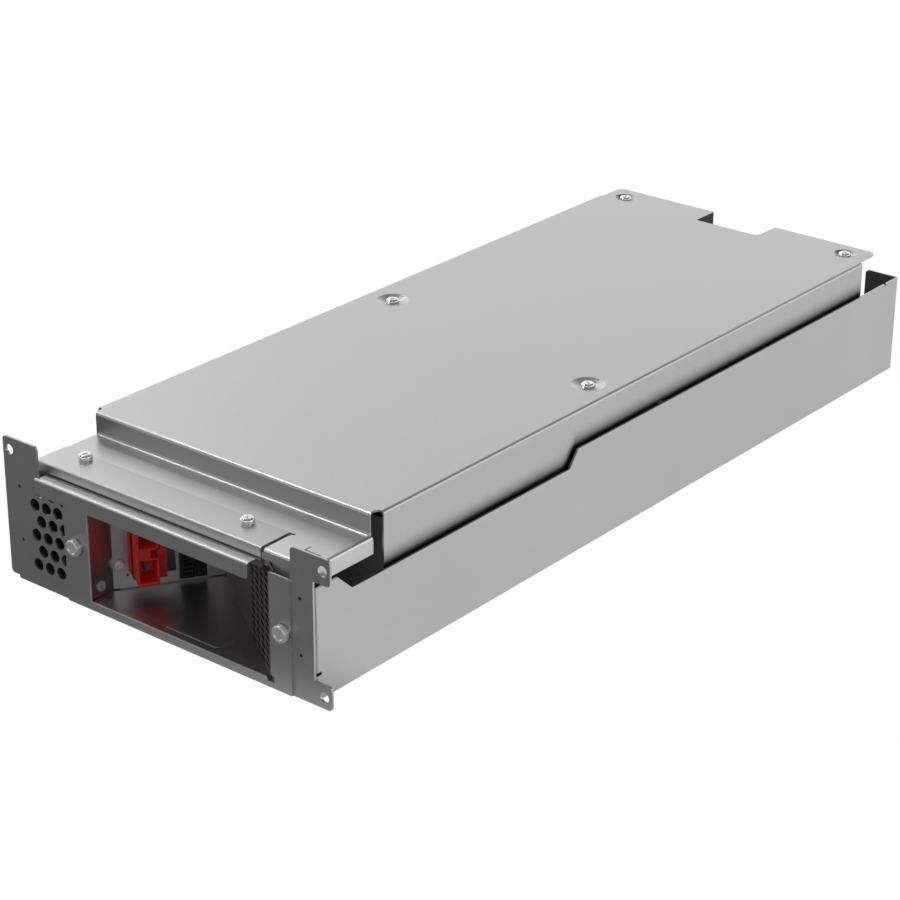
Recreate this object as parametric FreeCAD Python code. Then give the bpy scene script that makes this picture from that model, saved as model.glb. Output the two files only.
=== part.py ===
import FreeCAD, Part
import math
import os

# Battery cartridge for an uninterruptible power supply: a folded steel tray
# closed by a stepped cover, with rack ears on its front plate, a screwed-on
# front panel around the connector pocket, and six sealed batteries inside.
# X runs across the front, Y from front to back and Z up, in millimetres. The
# origin is at the middle of the footprint, on the underside of the tray.

V = FreeCAD.Vector
X_AXIS, Y_AXIS, Z_AXIS = V(1, 0, 0), V(0, 1, 0), V(0, 0, 1)

# Driving sizes
OVERALL_WIDTH = 253.5
EAR_TOP_Z = 91.0
TRAY_WIDTH = 228.7
PLATE_SHEET = 1.5
TRAY_SHEET = 1.4
COVER_SHEET = 1.2
BEND_RADIUS, CRISP_BEND = 0.8, 0.2
OUTLINE_STEPS, BEND_STEPS, HIDDEN_STEPS = 4, 6, 2

# Sealed batteries, two across and three deep, with the spaces around them
CELL_LENGTH, CELL_HEIGHT = 151.0, 65.0
AISLE_HALF = 13.0
CELL_ROWS = 3
CELL_SPACING_Y = CELL_LENGTH + 2.0
FIRST_CELL_Y = 88.0
PAD_THICKNESS = 1.6
LINER = 0.6
REAR_STOP_Y = FIRST_CELL_Y + (CELL_ROWS - 1) * CELL_SPACING_Y + CELL_LENGTH + PAD_THICKNESS
REAR_BAY = 65.4
DIVIDER_Y = FIRST_CELL_Y - PAD_THICKNESS - 1.2
CELL_TOP_Z = TRAY_SHEET + LINER + CELL_HEIGHT
TERMINAL_INSET, TERMINAL_Z = 9.0, 24.0
LEAD_HOLE_Z, LEAD_RADIUS, LEAD_SIDES, LEAD_STEPS = 40.0, 2.6, 8, 3
HOLD_PAD, RAIL_REACH = 3.0, 60.0
FUSE_Y, FUSE_Z, FUSE_CAP_RADIUS = REAR_STOP_Y - 76.6, CELL_TOP_Z + 10.5, 5.0

# Front plate
EAR_HOLE_X = OVERALL_WIDTH / 2 - 5.3
EAR_HOLE_TOP_Z = 83.2
EAR_HOLE_PITCH = 76.2
EAR_HOLE_RADIUS = 3.2
TAB_INNER_X = OVERALL_WIDTH / 2 - 28.35
TAB_BOTTOM_Z = 75.0
TAB_CORNER = 2.5
PLATE_TOP_Z = 69.0
PLATE_RIGHT_X = TRAY_WIDTH / 2
LOWER_TAB_TOP_Z = 14.7
PILOT_RADIUS = 1.1
PILOT_PLACES = ((-114.6, 61.6), (-114.6, 27.1), (105.0, 61.7), (105.0, 27.1))
POCKET_OPENING = (-62.0, 86.0, 3.2, 61.8)
VENT_PITCH_X, VENT_PITCH_Z = 9.6, 9.65
VENT_RADIUS = 3.95
VENT_FIRST = (-102.35, 62.85)
VENT_ROWS, VENT_COLUMNS = 6, 3

# Front panel that frames the pocket
PANEL_SHEET = 1.2
PANEL_LEFT_X, PANEL_RIGHT_X = -76.9, 98.9
BAR_LEFT_X, BAR_RIGHT_X = -TAB_INNER_X - 1.9, 67.9
PANEL_TOP_Z = 71.3
OPENING_LEFT_X, OPENING_RIGHT_X = -58.0, 83.4
OPENING_BOTTOM_Z, OPENING_TOP_Z = 5.1, 61.2
LIP_BACK_Y = 5.5
PANEL_SCREW_Z = 37.7
PANEL_SCREW_X = (-67.9, 93.1)
PANEL_SCREW_HOLE = 2.6
THUMB_RADIUS, RING_RADIUS = 5.0, 5.7
RING_SHEET = 0.9
THUMB_REACH = 5.1

# Tray
TRAY_DEPTH = REAR_STOP_Y + REAR_BAY
TRAY_HIGH_Z, TRAY_LOW_Z = 69.3, 58.7
TRAY_LOW_START_Y, TRAY_LOW_END_Y = 31.8, 228.3
RETURN_WIDTH = 25.6
FRONT_FLANGE_WIDTH = 7.0

# Cover, with the lowered ledge in front
COVER_WIDTH = TRAY_WIDTH - 6.1
CELL_OUTER_X = COVER_WIDTH / 2 - COVER_SHEET - 3.1
COVER_TOP_Z = EAR_TOP_Z + 1.25
COVER_FLANGE_BOTTOM_Z = 40.0
COVER_FLANGE_END_Y = TRAY_DEPTH - 46.7
COVER_END_Y = TRAY_DEPTH - 23.5
REAR_TAB_INSET = 3.1
RISER_Y = 55.25
RISER_WIDTH = COVER_WIDTH - 9.2
LEDGE_WIDTH = COVER_WIDTH - 6.6
LEDGE_TOP_Z = 78.1
LEDGE_FRONT_Y = 7.6
LEDGE_FLANGE_END_Y = 58.6
LEDGE_FLANGE_BOTTOM_Z = 67.3
LEDGE_FRONT_BOTTOM_Z = 66.1
RIGHT_APRON_BOTTOM_Z = 61.0
RELIEF_END_Y = 61.8
NOTCH_HALF, NOTCH_DEPTH = 25.9, 22.6
SCREW_X = COVER_WIDTH / 2 - 19.5
FRONT_COVER_SCREWS = ((1.3 - SCREW_X, FIRST_CELL_Y + 219.3), (SCREW_X, FIRST_CELL_Y + 187.5))
REAR_COVER_SCREWS = ((-SCREW_X - 1.4, TRAY_DEPTH - 38.5), (SCREW_X, TRAY_DEPTH - 38.3))
COVER_SCREWS = FRONT_COVER_SCREWS + REAR_COVER_SCREWS
DIMPLE_RADII = (10.8, 10.8, 8.1, 8.1)
DIMPLE_FOOT, DIMPLE_DEPTH, DIMPLE_SIDES = 5.2, 2.0, 20
SEAT_Z = COVER_TOP_Z - DIMPLE_DEPTH - COVER_SHEET
SPACER_PLACES = ((0.09, 50.0), (0.52, 65.9), (0.94, 50.0))

# Overlay strip on the ledge
STRIP_SHEET = 0.6
STRIP_TOP_Z = LEDGE_TOP_Z + STRIP_SHEET
STRIP_RIGHT_X = 70.5
STRIP_BACK_Y = 30.4
STRIP_BAND_BOTTOM_Z = 72.8
STRIP_SCREWS = ((-84.2, 24.8), (44.9, 24.2))
SLOT_WIDTH = 1.8

# Pan-head screws, drawn with flats where a round would not be told apart
HEAD_RADIUS, HEAD_HEIGHT = 4.3, 2.9
SHANK_RADIUS = 2.0
RECESS_ARM, RECESS_WIDTH, RECESS_DEPTH = 2.3, 1.0, 1.4
HEAD_SIDES, SMALL_SIDES = 16, 12
WASHER, WASHER_RADIUS = 0.9, 3.7
CLEARANCE = 0.2

# Connector pocket, seen from above
POCKET_SHEET = 1.2
POCKET_LEFT_X = -63.6
POCKET_BEND_Y = 22.2
POCKET_BACK = (-26.75, 78.0)
POCKET_WALL_TOP_Z = 72.6
UNDER_FLANGE_Y = 9.4
BAFFLE_START_X = 84.4
BAFFLE_SHEET = 0.8

# Plugs on the slanted wall: along it, then up
POWER_PLUG_S, POWER_PLUG_Z = (10.6, 30.0), (10.4, 52.0)
CHAMBER_S, CHAMBER_Z = (12.7, 23.3), ((13.0, 27.4), (35.3, 49.7))
SIGNAL_PLUGS = ((40.3, 48.0, 4.6, 44.0), (49.8, 55.2, 4.6, 36.0))
WALL_SCREW, WALL_SCREW_SIZE = (4.2, 0.0, 17.4), 0.82
RIVET_PLACE, RIVET_SLEEVE = (POCKET_LEFT_X, 12.4, 8.2), 1.55


def box(x0, x1, y0, y1, z0, z1):
    return Part.makeBox(x1 - x0, y1 - y0, z1 - z0, V(x0, y0, z0))


def fuse(first, *others):
    return first.multiFuse(list(others)).removeSplitter()


def rod(radius, start, axis, length):
    return Part.makeCylinder(radius, length, start, axis)


def bent_corner(back, corner, ahead, radius, steps):
    """Points that round a corner between two directions in short chords."""
    half = back.getAngle(ahead) / 2
    centre = corner + (back + ahead).normalize() * (radius / math.sin(half))
    setback = radius / math.tan(half)
    start, end = corner + back * setback - centre, corner + ahead * setback - centre
    sweep = math.pi - 2 * half
    points = []
    for k in range(steps + 1):
        near, far = math.sin(sweep * (1 - k / steps)), math.sin(sweep * k / steps)
        points.append(centre + (start * near + end * far) * (1 / math.sin(sweep)))
    return points


def rounded_wire(points, radii, steps=OUTLINE_STEPS):
    """Close a polygon of points, rounding each corner by its own radius."""
    outline = []
    count = len(points)
    for i, corner in enumerate(points):
        if radii[i] > 0:
            back = (points[i - 1] - corner).normalize()
            ahead = (points[(i + 1) % count] - corner).normalize()
            outline += bent_corner(back, corner, ahead, radii[i], steps)
        else:
            outline.append(corner)
    return Part.makePolygon(outline + outline[:1])


def plate_xz(points, y0, y1, radii=None):
    """Flat plate whose outline is drawn in the XZ plane, from y0 to y1."""
    corners = [V(x, y0, z) for x, z in points]
    wire = rounded_wire(corners, radii or [0] * len(corners))
    return Part.Face(wire).extrude(V(0, y1 - y0, 0))


def plate_yz(points, x0, x1, radii=None):
    """Flat plate whose outline is drawn in the YZ plane, from x0 to x1."""
    corners = [V(x0, y, z) for y, z in points]
    wire = rounded_wire(corners, radii or [0] * len(corners))
    return Part.Face(wire).extrude(V(x1 - x0, 0, 0))


def plate_xy(points, z0, z1, radii=None):
    """Flat plate whose outline is drawn in the XY plane, from z0 to z1."""
    corners = [V(x, y, z0) for x, y in points]
    wire = rounded_wire(corners, radii or [0] * len(corners))
    return Part.Face(wire).extrude(V(0, 0, z1 - z0))


def folded(points, sheet, normal, bend=BEND_RADIUS, steps=BEND_STEPS):
    """Outline of a folded sheet: the given points run along its outer face
    and the thickness lies to the left of them, seen against the normal."""
    count = len(points)
    lefts = []
    for a, b in zip(points, points[1:]):
        lefts.append(normal.cross((b - a).normalize()))
    outer, outer_radii, inner, inner_radii = [], [], [], []
    for i, point in enumerate(points):
        if i in (0, count - 1):
            left = lefts[0] if i == 0 else lefts[-1]
            inner.append(point + left * sheet)
            radii = (0, 0)
        else:
            bisector = (lefts[i - 1] + lefts[i]).normalize()
            stretch = sheet / bisector.dot(lefts[i])
            inner.append(point + bisector * stretch)
            turns_left = normal.cross(point - points[i - 1]).dot(points[i + 1] - point) > 0
            tight, wide = bend, bend + sheet
            radii = (wide, tight) if turns_left else (tight, wide)
        outer.append(point)
        outer_radii.append(radii[0])
        inner_radii.append(radii[1])
    return Part.Face(rounded_wire(outer + inner[::-1], outer_radii + inner_radii[::-1], steps))


def folded_yz(points, sheet, x0, x1, bend=BEND_RADIUS, steps=BEND_STEPS):
    profile = folded([V(x0, y, z) for y, z in points], sheet, X_AXIS, bend, steps)
    return profile.extrude(V(x1 - x0, 0, 0))


def folded_xz(points, sheet, y0, y1, steps=BEND_STEPS):
    profile = folded([V(x, y0, z) for x, z in points], sheet, -Y_AXIS, steps=steps)
    return profile.extrude(V(0, y1 - y0, 0))


def folded_xy(points, sheet, z0, z1, steps=BEND_STEPS):
    profile = folded([V(x, y, z0) for x, y in points], sheet, Z_AXIS, steps=steps)
    return profile.extrude(V(0, 0, z1 - z0))


def mirrored(shape):
    return shape.mirror(V(0, 0, 0), X_AXIS)


def round_points(radius, sides, x=0.0, y=0.0):
    """Corners of a many-sided round about x, y."""
    turns = [2 * math.pi * (k + 0.5) / sides for k in range(sides)]
    return [(x + radius * math.cos(turn), y + radius * math.sin(turn)) for turn in turns]


def loft_up(rings, start, axis):
    """Solid through closed rings of points (radius and height) along an axis."""
    turn = FreeCAD.Rotation(Z_AXIS, axis)
    wires = []
    for sides, radius, height in rings:
        points = [start + turn.multVec(V(x, y, height)) for x, y in round_points(radius, sides)]
        wires.append(Part.makePolygon(points + points[:1]))
    return Part.makeLoft(wires, True, True)


def prism(sides, radius, start, axis, length):
    return loft_up([(sides, radius, 0.0), (sides, radius, length)], start, axis)


def pan_screw(place, axis, length, size=1.0):
    """Cross-recess pan-head screw whose head rests on the place given."""
    radius, height = HEAD_RADIUS * size, HEAD_HEIGHT * size
    head = loft_up([(HEAD_SIDES, radius * 0.93, 0.0), (HEAD_SIDES, radius, height * 0.3),
                    (HEAD_SIDES, radius * 0.86, height * 0.75), (HEAD_SIDES, radius * 0.6, height)],
                   place, axis)
    arm, width, depth = RECESS_ARM * size, RECESS_WIDTH * size / 2, RECESS_DEPTH * size
    cross = [(arm, -width), (arm, width), (width, width), (width, arm), (-width, arm),
             (-width, width), (-arm, width), (-arm, -width), (-width, -width), (-width, -arm),
             (width, -arm), (width, -width)]
    recess = plate_xy(cross, 0, depth + 1)
    recess.Placement = FreeCAD.Placement(place + axis * (height - depth), FreeCAD.Rotation(Z_AXIS, axis))
    shank = prism(SMALL_SIDES, SHANK_RADIUS * size, place - axis * length, axis, length)
    return fuse(head.cut(recess), shank)


def press_nut(place, axis, length, radius=3.7):
    """Six-sided press nut with its bore, resting on the place given."""
    nut = prism(6, radius, place, axis, length)
    return nut.cut(prism(SMALL_SIDES, SHANK_RADIUS + CLEARANCE / 2, place - axis, axis, length + 2))


def front_plate():
    """Flat front with rack ears, cooling vents and the pocket opening."""
    left = -OVERALL_WIDTH / 2
    step_x, step_z = -120.0, 2.0
    ear_x = OVERALL_WIDTH / 2
    outline = [(left, step_z), (step_x, step_z), (step_x, 0), (ear_x, 0), (ear_x, LOWER_TAB_TOP_Z),
               (PLATE_RIGHT_X, LOWER_TAB_TOP_Z), (PLATE_RIGHT_X, TAB_BOTTOM_Z), (ear_x, TAB_BOTTOM_Z),
               (ear_x, EAR_TOP_Z), (TAB_INNER_X, EAR_TOP_Z), (TAB_INNER_X, PLATE_TOP_Z),
               (-TAB_INNER_X, PLATE_TOP_Z), (-TAB_INNER_X, EAR_TOP_Z), (left, EAR_TOP_Z)]
    small = 0.8
    radii = [TAB_CORNER, 0, small, TAB_CORNER, TAB_CORNER, small, small, TAB_CORNER,
             TAB_CORNER, TAB_CORNER, small, small, TAB_CORNER, TAB_CORNER]
    plate = plate_xz(outline, 0, PLATE_SHEET, radii)
    x0, x1, z0, z1 = POCKET_OPENING
    slot_left = BAR_RIGHT_X - 2
    plate = plate.cut(box(x0, x1, -1, PLATE_SHEET + 1, z0, z1))
    plate = plate.cut(box(slot_left, x1, -1, PLATE_SHEET + 1, z0, PLATE_TOP_Z + 1))
    holes = [(-EAR_HOLE_X, EAR_HOLE_TOP_Z, EAR_HOLE_RADIUS),
             (EAR_HOLE_X, EAR_HOLE_TOP_Z, EAR_HOLE_RADIUS),
             (EAR_HOLE_X, EAR_HOLE_TOP_Z - EAR_HOLE_PITCH, EAR_HOLE_RADIUS)]
    for x, z, radius in holes:
        plate = plate.cut(rod(radius, V(x, -1, z), Y_AXIS, PLATE_SHEET + 2))
    small_holes = [(x, z, PILOT_RADIUS) for x, z in PILOT_PLACES]
    small_holes += [(x, PANEL_SCREW_Z, PANEL_SCREW_HOLE) for x in PANEL_SCREW_X]
    for x, z, radius in small_holes:
        plate = plate.cut(prism(SMALL_SIDES, radius, V(x, -1, z), Y_AXIS, PLATE_SHEET + 2))
    for row in range(VENT_ROWS):
        for column in range(VENT_COLUMNS):
            x = VENT_FIRST[0] + (column + (row + 1) % 2 / 2) * VENT_PITCH_X
            z = VENT_FIRST[1] - row * VENT_PITCH_Z
            plate = plate.cut(prism(SMALL_SIDES, VENT_RADIUS, V(x, -1, z), Y_AXIS, PLATE_SHEET + 2))
    return plate


def front_panel():
    """C-shaped panel in front of the plate, with its top lip folded back."""
    front, back = -PANEL_SHEET, 0
    lip = folded_yz([(LIP_BACK_Y, PANEL_TOP_Z), (front, PANEL_TOP_Z), (front, OPENING_TOP_Z)],
                    PANEL_SHEET, BAR_LEFT_X, BAR_RIGHT_X, CRISP_BEND)
    post_top = PANEL_TOP_Z - 0.2
    left_post = box(PANEL_LEFT_X, OPENING_LEFT_X, front, back, 0, OPENING_TOP_Z)
    bottom_bar = box(PANEL_LEFT_X, PANEL_RIGHT_X, front, back, 0, OPENING_BOTTOM_Z)
    right_post = plate_xz([(OPENING_RIGHT_X, 0), (PANEL_RIGHT_X, 0), (PANEL_RIGHT_X, post_top),
                           (OPENING_RIGHT_X, post_top)], front, back, [0, 0, 1.5, 0])
    panel = fuse(lip, left_post, bottom_bar, right_post)
    end_round = 2.5
    for x, z in ((BAR_RIGHT_X, OPENING_TOP_Z), (BAR_LEFT_X, OPENING_TOP_Z)):
        inward = -end_round if x > 0 else end_round
        block = box(*sorted((x, x + inward)), front - 1, back + 1, z, z + end_round)
        panel = panel.cut(block.cut(rod(end_round, V(x + inward, front - 1, z + end_round), Y_AXIS, 5)))
    panel = panel.cut(box(BAR_LEFT_X - 1, 0.2 - TAB_INNER_X, back, LIP_BACK_Y + 1,
                          PLATE_TOP_Z, PANEL_TOP_Z + 1))
    relief = 2.4
    panel = panel.cut(box(OPENING_RIGHT_X - relief, OPENING_RIGHT_X + relief, front - 1, back + 1,
                          OPENING_BOTTOM_Z - 1.5, OPENING_BOTTOM_Z + relief))
    for x in PANEL_SCREW_X:
        panel = panel.cut(prism(SMALL_SIDES, PANEL_SCREW_HOLE, V(x, front - 1, PANEL_SCREW_Z), Y_AXIS, 5))
    return panel


def front_stiffener():
    """Angle welded behind the plate, its edge showing behind the lip."""
    y = LIP_BACK_Y + 0.3
    sheet = 0.7
    low_z = OPENING_TOP_Z + 1.2
    return folded_yz([(PLATE_SHEET, low_z), (y + sheet, low_z), (y + sheet, PANEL_TOP_Z + 0.2)],
                     sheet, CLEARANCE - TAB_INNER_X, BAR_RIGHT_X + 3)


def tray():
    """Open-topped tray: floor, stepped side walls and rear returns."""
    half = TRAY_WIDTH / 2
    front = PLATE_SHEET
    pan = folded_xz([(-half, TRAY_HIGH_Z), (-half, 0), (half, 0), (half, TRAY_HIGH_Z)],
                    TRAY_SHEET, front, TRAY_DEPTH - TRAY_SHEET)
    corner_z = TRAY_SHEET + BEND_RADIUS + 0.6
    side_depth = 20.0
    back_return = folded_xy([(half, TRAY_DEPTH - side_depth), (half, TRAY_DEPTH),
                             (half - RETURN_WIDTH, TRAY_DEPTH)], TRAY_SHEET, corner_z, TRAY_HIGH_Z)
    front_flange = folded_xy([(half - FRONT_FLANGE_WIDTH, front), (half, front),
                              (half, front + side_depth)], TRAY_SHEET, corner_z, TRAY_HIGH_Z)
    trim = box(half - 3, half + 1, TRAY_DEPTH - 3, TRAY_DEPTH + 1, corner_z, TRAY_HIGH_Z + 1)
    trim = fuse(trim, box(half - 3, half + 1, front - 1, front + 3, corner_z, TRAY_HIGH_Z + 1))
    pan = pan.cut(trim).cut(mirrored(trim))
    shell = fuse(pan, back_return, front_flange, mirrored(back_return), mirrored(front_flange))
    high_start, high_end = 20.3, 236.8
    step = plate_yz([(high_start, TRAY_HIGH_Z + 5), (high_start, TRAY_HIGH_Z),
                     (TRAY_LOW_START_Y, TRAY_LOW_Z), (TRAY_LOW_END_Y, TRAY_LOW_Z),
                     (high_end, TRAY_HIGH_Z), (high_end, TRAY_HIGH_Z + 5)],
                    -half - 1, half + 1, [0, 1.5, 1.5, 1.5, 1.5, 0])
    shell = shell.cut(step)
    chamfer = 2.0
    inner = half - RETURN_WIDTH
    nip = plate_xz([(inner, TRAY_HIGH_Z), (inner + chamfer, TRAY_HIGH_Z),
                    (inner, TRAY_HIGH_Z - chamfer)], TRAY_DEPTH - 3, TRAY_DEPTH + 1)
    slot_z, slot_height = 16.2, 2.0
    slot = box(half - 8, half + 1, front - 1, 6.0, slot_z, slot_z + slot_height)
    notch = prism(SMALL_SIDES, 1.2, V(half - 3, TRAY_DEPTH - 18.0, TRAY_HIGH_Z), X_AXIS, 4)
    for cutter in (nip, slot, notch):
        shell = shell.cut(cutter).cut(mirrored(cutter))
    return shell


def top_cover():
    """Cover folded from one sheet: top, side flanges, riser, ledge and its
    front flange, with dimpled screw seats and a notch in the rear edge."""
    half, ledge_half, riser_half = COVER_WIDTH / 2, LEDGE_WIDTH / 2, RISER_WIDTH / 2
    stepped = folded_yz([(COVER_FLANGE_END_Y, COVER_TOP_Z), (RISER_Y, COVER_TOP_Z),
                         (RISER_Y, LEDGE_TOP_Z), (LEDGE_FRONT_Y, LEDGE_TOP_Z),
                         (LEDGE_FRONT_Y, LEDGE_FRONT_BOTTOM_Z)],
                        COVER_SHEET, -ledge_half + 3, ledge_half - 3)
    hood = folded_xz([(half, COVER_FLANGE_BOTTOM_Z), (half, COVER_TOP_Z), (-half, COVER_TOP_Z),
                      (-half, COVER_FLANGE_BOTTOM_Z)], COVER_SHEET, RISER_Y + 2, COVER_FLANGE_END_Y)
    riser = box(-riser_half, riser_half, RISER_Y, RISER_Y + COVER_SHEET, LEDGE_TOP_Z, COVER_TOP_Z - 2)
    apron = box(STRIP_RIGHT_X + 7.0, TAB_INNER_X, LEDGE_FRONT_Y, LEDGE_FRONT_Y + COVER_SHEET,
                RIGHT_APRON_BOTTOM_Z, LEDGE_FRONT_BOTTOM_Z + 2)
    brow = plate_yz([(RISER_Y + 2.2, COVER_TOP_Z - COVER_SHEET), (RISER_Y + 2.2, COVER_TOP_Z),
                     (RISER_Y, COVER_TOP_Z), (RISER_Y, COVER_TOP_Z - 3),
                     (RISER_Y + COVER_SHEET, COVER_TOP_Z - 3),
                     (RISER_Y + COVER_SHEET, COVER_TOP_Z - COVER_SHEET)],
                    -riser_half, riser_half, [0, 0, BEND_RADIUS + COVER_SHEET, 0, 0, BEND_RADIUS])
    ledge = folded_xz([(ledge_half, LEDGE_FLANGE_BOTTOM_Z), (ledge_half, LEDGE_TOP_Z),
                       (-ledge_half, LEDGE_TOP_Z), (-ledge_half, LEDGE_FLANGE_BOTTOM_Z)],
                      COVER_SHEET, LEDGE_FRONT_Y + 2.2, LEDGE_FLANGE_END_Y)
    behind = box(-ledge_half + COVER_SHEET + 0.1, ledge_half - COVER_SHEET - 0.1, RISER_Y,
                 LEDGE_FLANGE_END_Y + 1, LEDGE_FLANGE_BOTTOM_Z - 1, LEDGE_TOP_Z - COVER_SHEET - 0.8)
    crest = box(-ledge_half - 1, ledge_half + 1, RISER_Y + COVER_SHEET, LEDGE_FLANGE_END_Y + 1,
                LEDGE_TOP_Z - 3, LEDGE_TOP_Z + 1)
    ledge = ledge.cut(behind).cut(crest)
    tab_half, tab_corner = half - REAR_TAB_INSET, 5.0
    tabs = plate_xy([(-tab_half, COVER_FLANGE_END_Y - 1), (tab_half, COVER_FLANGE_END_Y - 1),
                     (tab_half, COVER_END_Y), (-tab_half, COVER_END_Y)],
                    COVER_TOP_Z - COVER_SHEET, COVER_TOP_Z, [0, 0, tab_corner, tab_corner])
    notch_y, flap_height = COVER_END_Y - NOTCH_DEPTH, 22.0
    flap = box(-NOTCH_HALF - COVER_SHEET, -NOTCH_HALF, notch_y + 1, COVER_END_Y,
               COVER_TOP_Z - flap_height, COVER_TOP_Z)
    cover = fuse(stepped, hood, riser, brow, apron, ledge, tabs)
    notch = plate_xy([(-NOTCH_HALF, COVER_END_Y + 1), (-NOTCH_HALF, notch_y), (NOTCH_HALF, notch_y),
                      (NOTCH_HALF, COVER_END_Y + 1)], COVER_TOP_Z - 5, COVER_TOP_Z + 1, [0, 2, 5, 0])
    relief_y = RISER_Y + COVER_SHEET
    corner = (RELIEF_END_Y - relief_y) * 0.45
    relief = plate_xy([(riser_half, relief_y), (half + 1, relief_y), (half + 1, RELIEF_END_Y),
                       (riser_half, RELIEF_END_Y)],
                      COVER_FLANGE_BOTTOM_Z - 1, COVER_TOP_Z + 1, [corner, 0, 0, corner])
    gap_end = STRIP_BACK_Y + 0.9
    gap = box(STRIP_RIGHT_X, STRIP_RIGHT_X + SLOT_WIDTH, 0, gap_end, RIGHT_APRON_BOTTOM_Z, COVER_TOP_Z - 5)
    hook = box(STRIP_RIGHT_X, STRIP_RIGHT_X + 3.6, gap_end - 1.5, gap_end, LEDGE_TOP_Z - 3, LEDGE_TOP_Z + 1)
    step_notch = box(STRIP_RIGHT_X, STRIP_RIGHT_X + 7, 0, LEDGE_FRONT_Y + 2, RIGHT_APRON_BOTTOM_Z - 1, 68.4)
    mark_x, mark_y, mark_width, mark_end = 90.2, 20.4, 0.7, 101.8
    mark = fuse(box(mark_x, mark_end, mark_y, mark_y + mark_width, LEDGE_TOP_Z - 3, LEDGE_TOP_Z + 1),
                box(mark_x, mark_x + mark_width, mark_y, mark_y + 5.0, LEDGE_TOP_Z - 3, LEDGE_TOP_Z + 1))
    for cutter in (notch, relief, mirrored(relief), gap, hook, step_notch, mark):
        cover = cover.cut(cutter)
    cover = fuse(cover, flap)
    bore = SHANK_RADIUS + CLEARANCE
    for (x, y), rim in zip(COVER_SCREWS, DIMPLE_RADII):
        floor = V(x, y, COVER_TOP_Z - DIMPLE_DEPTH)
        cup = [(DIMPLE_SIDES, DIMPLE_FOOT, 0.0), (DIMPLE_SIDES, rim, DIMPLE_DEPTH)]
        hole = prism(SMALL_SIDES, bore, floor - Z_AXIS * COVER_SHEET * 2, Z_AXIS, COVER_SHEET * 3)
        cover = fuse(cover, loft_up(cup, floor - Z_AXIS * COVER_SHEET, Z_AXIS))
        cover = cover.cut(loft_up(cup, floor, Z_AXIS)).cut(hole)
    for x, y in STRIP_SCREWS:
        cover = cover.cut(prism(SMALL_SIDES, bore, V(x, y, LEDGE_TOP_Z - 3), Z_AXIS, 4))
    return cover


def ledge_strip():
    """Strip laid over the ledge and folded down in front of it."""
    front = LEDGE_FRONT_Y - STRIP_SHEET
    left = CLEARANCE + COVER_SHEET - LEDGE_WIDTH / 2
    strip = folded_yz([(STRIP_BACK_Y, STRIP_TOP_Z), (front, STRIP_TOP_Z), (front, STRIP_BAND_BOTTOM_Z)],
                      STRIP_SHEET, left, STRIP_RIGHT_X)
    for x, y in STRIP_SCREWS:
        strip = strip.cut(prism(SMALL_SIDES, SHANK_RADIUS + CLEARANCE, V(x, y, LEDGE_TOP_Z - 1), Z_AXIS, 4))
    return strip


def wall_frame():
    """Placement whose X runs along the slanted connector wall from its front
    bend, Y points away behind the wall and Z is up."""
    back_x, back_y = POCKET_BACK
    along = V(back_x - POCKET_LEFT_X, back_y - POCKET_BEND_Y, 0).normalize()
    turn = FreeCAD.Rotation(along, Z_AXIS.cross(along), Z_AXIS, "ZXY")
    return FreeCAD.Placement(V(POCKET_LEFT_X, POCKET_BEND_Y, 0), turn)


def on_wall(shape):
    placed = shape.copy()
    placed.Placement = wall_frame().multiply(shape.Placement)
    return placed


def wall_box(s0, s1, behind, ahead, z0, z1):
    """Box on the slanted wall: along it from s0 to s1, and reaching behind
    it and ahead into the pocket by the depths given."""
    return on_wall(box(s0, s1, -ahead, behind, z0, z1))


def connector_bracket():
    """Folded wall at the left and back of the pocket that carries the plugs,
    with a floor flange behind it."""
    back_x, back_y = POCKET_BACK
    foot_z = TRAY_SHEET + 0.7
    wall = folded_xy([(POCKET_LEFT_X - 9.0, PLATE_SHEET), (POCKET_LEFT_X, PLATE_SHEET),
                      (POCKET_LEFT_X, POCKET_BEND_Y), (back_x, back_y)],
                     POCKET_SHEET, foot_z, POCKET_WALL_TOP_Z)
    foot = fuse(wall_box(4.0, 60.0, POCKET_SHEET * 2, -POCKET_SHEET, TRAY_SHEET, foot_z + 4),
                wall_box(4.0, 60.0, 10.0, -POCKET_SHEET, TRAY_SHEET, TRAY_SHEET + POCKET_SHEET))
    wall = fuse(wall, foot)
    s0, s1 = POWER_PLUG_S
    z0, z1 = POWER_PLUG_Z
    openings = [wall_box(s0, s1, 3, 1, z0, z1)]
    openings += [wall_box(a, b, 3, 1, c, d) for a, b, c, d in SIGNAL_PLUGS]
    window, slots = (31.0, 37.4, 9.0, 46.0), ((8.0, 9.4, 9.4, 11.0), (55.9, 58.2, 14.4, 15.8))
    openings += [wall_box(a, b, 3, 1, c, d) for a, b, c, d in (window, *slots)]
    openings += [box(POCKET_LEFT_X - 12, POCKET_LEFT_X - POCKET_SHEET, 0, 9,
                     PANEL_SCREW_Z - 6, PANEL_SCREW_Z + 6),
                 box(POCKET_LEFT_X - 12, POCKET_LEFT_X + 1, 0, UNDER_FLANGE_Y, OPENING_TOP_Z,
                     POCKET_WALL_TOP_Z + 1),
                 prism(SMALL_SIDES, RIVET_SLEEVE + 0.1, V(*RIVET_PLACE) - X_AXIS * 3, X_AXIS, 5),
                 on_wall(prism(SMALL_SIDES, SHANK_RADIUS, V(*WALL_SCREW), Y_AXIS, 3))]
    for opening in openings:
        wall = wall.cut(opening)
    return wall


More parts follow.
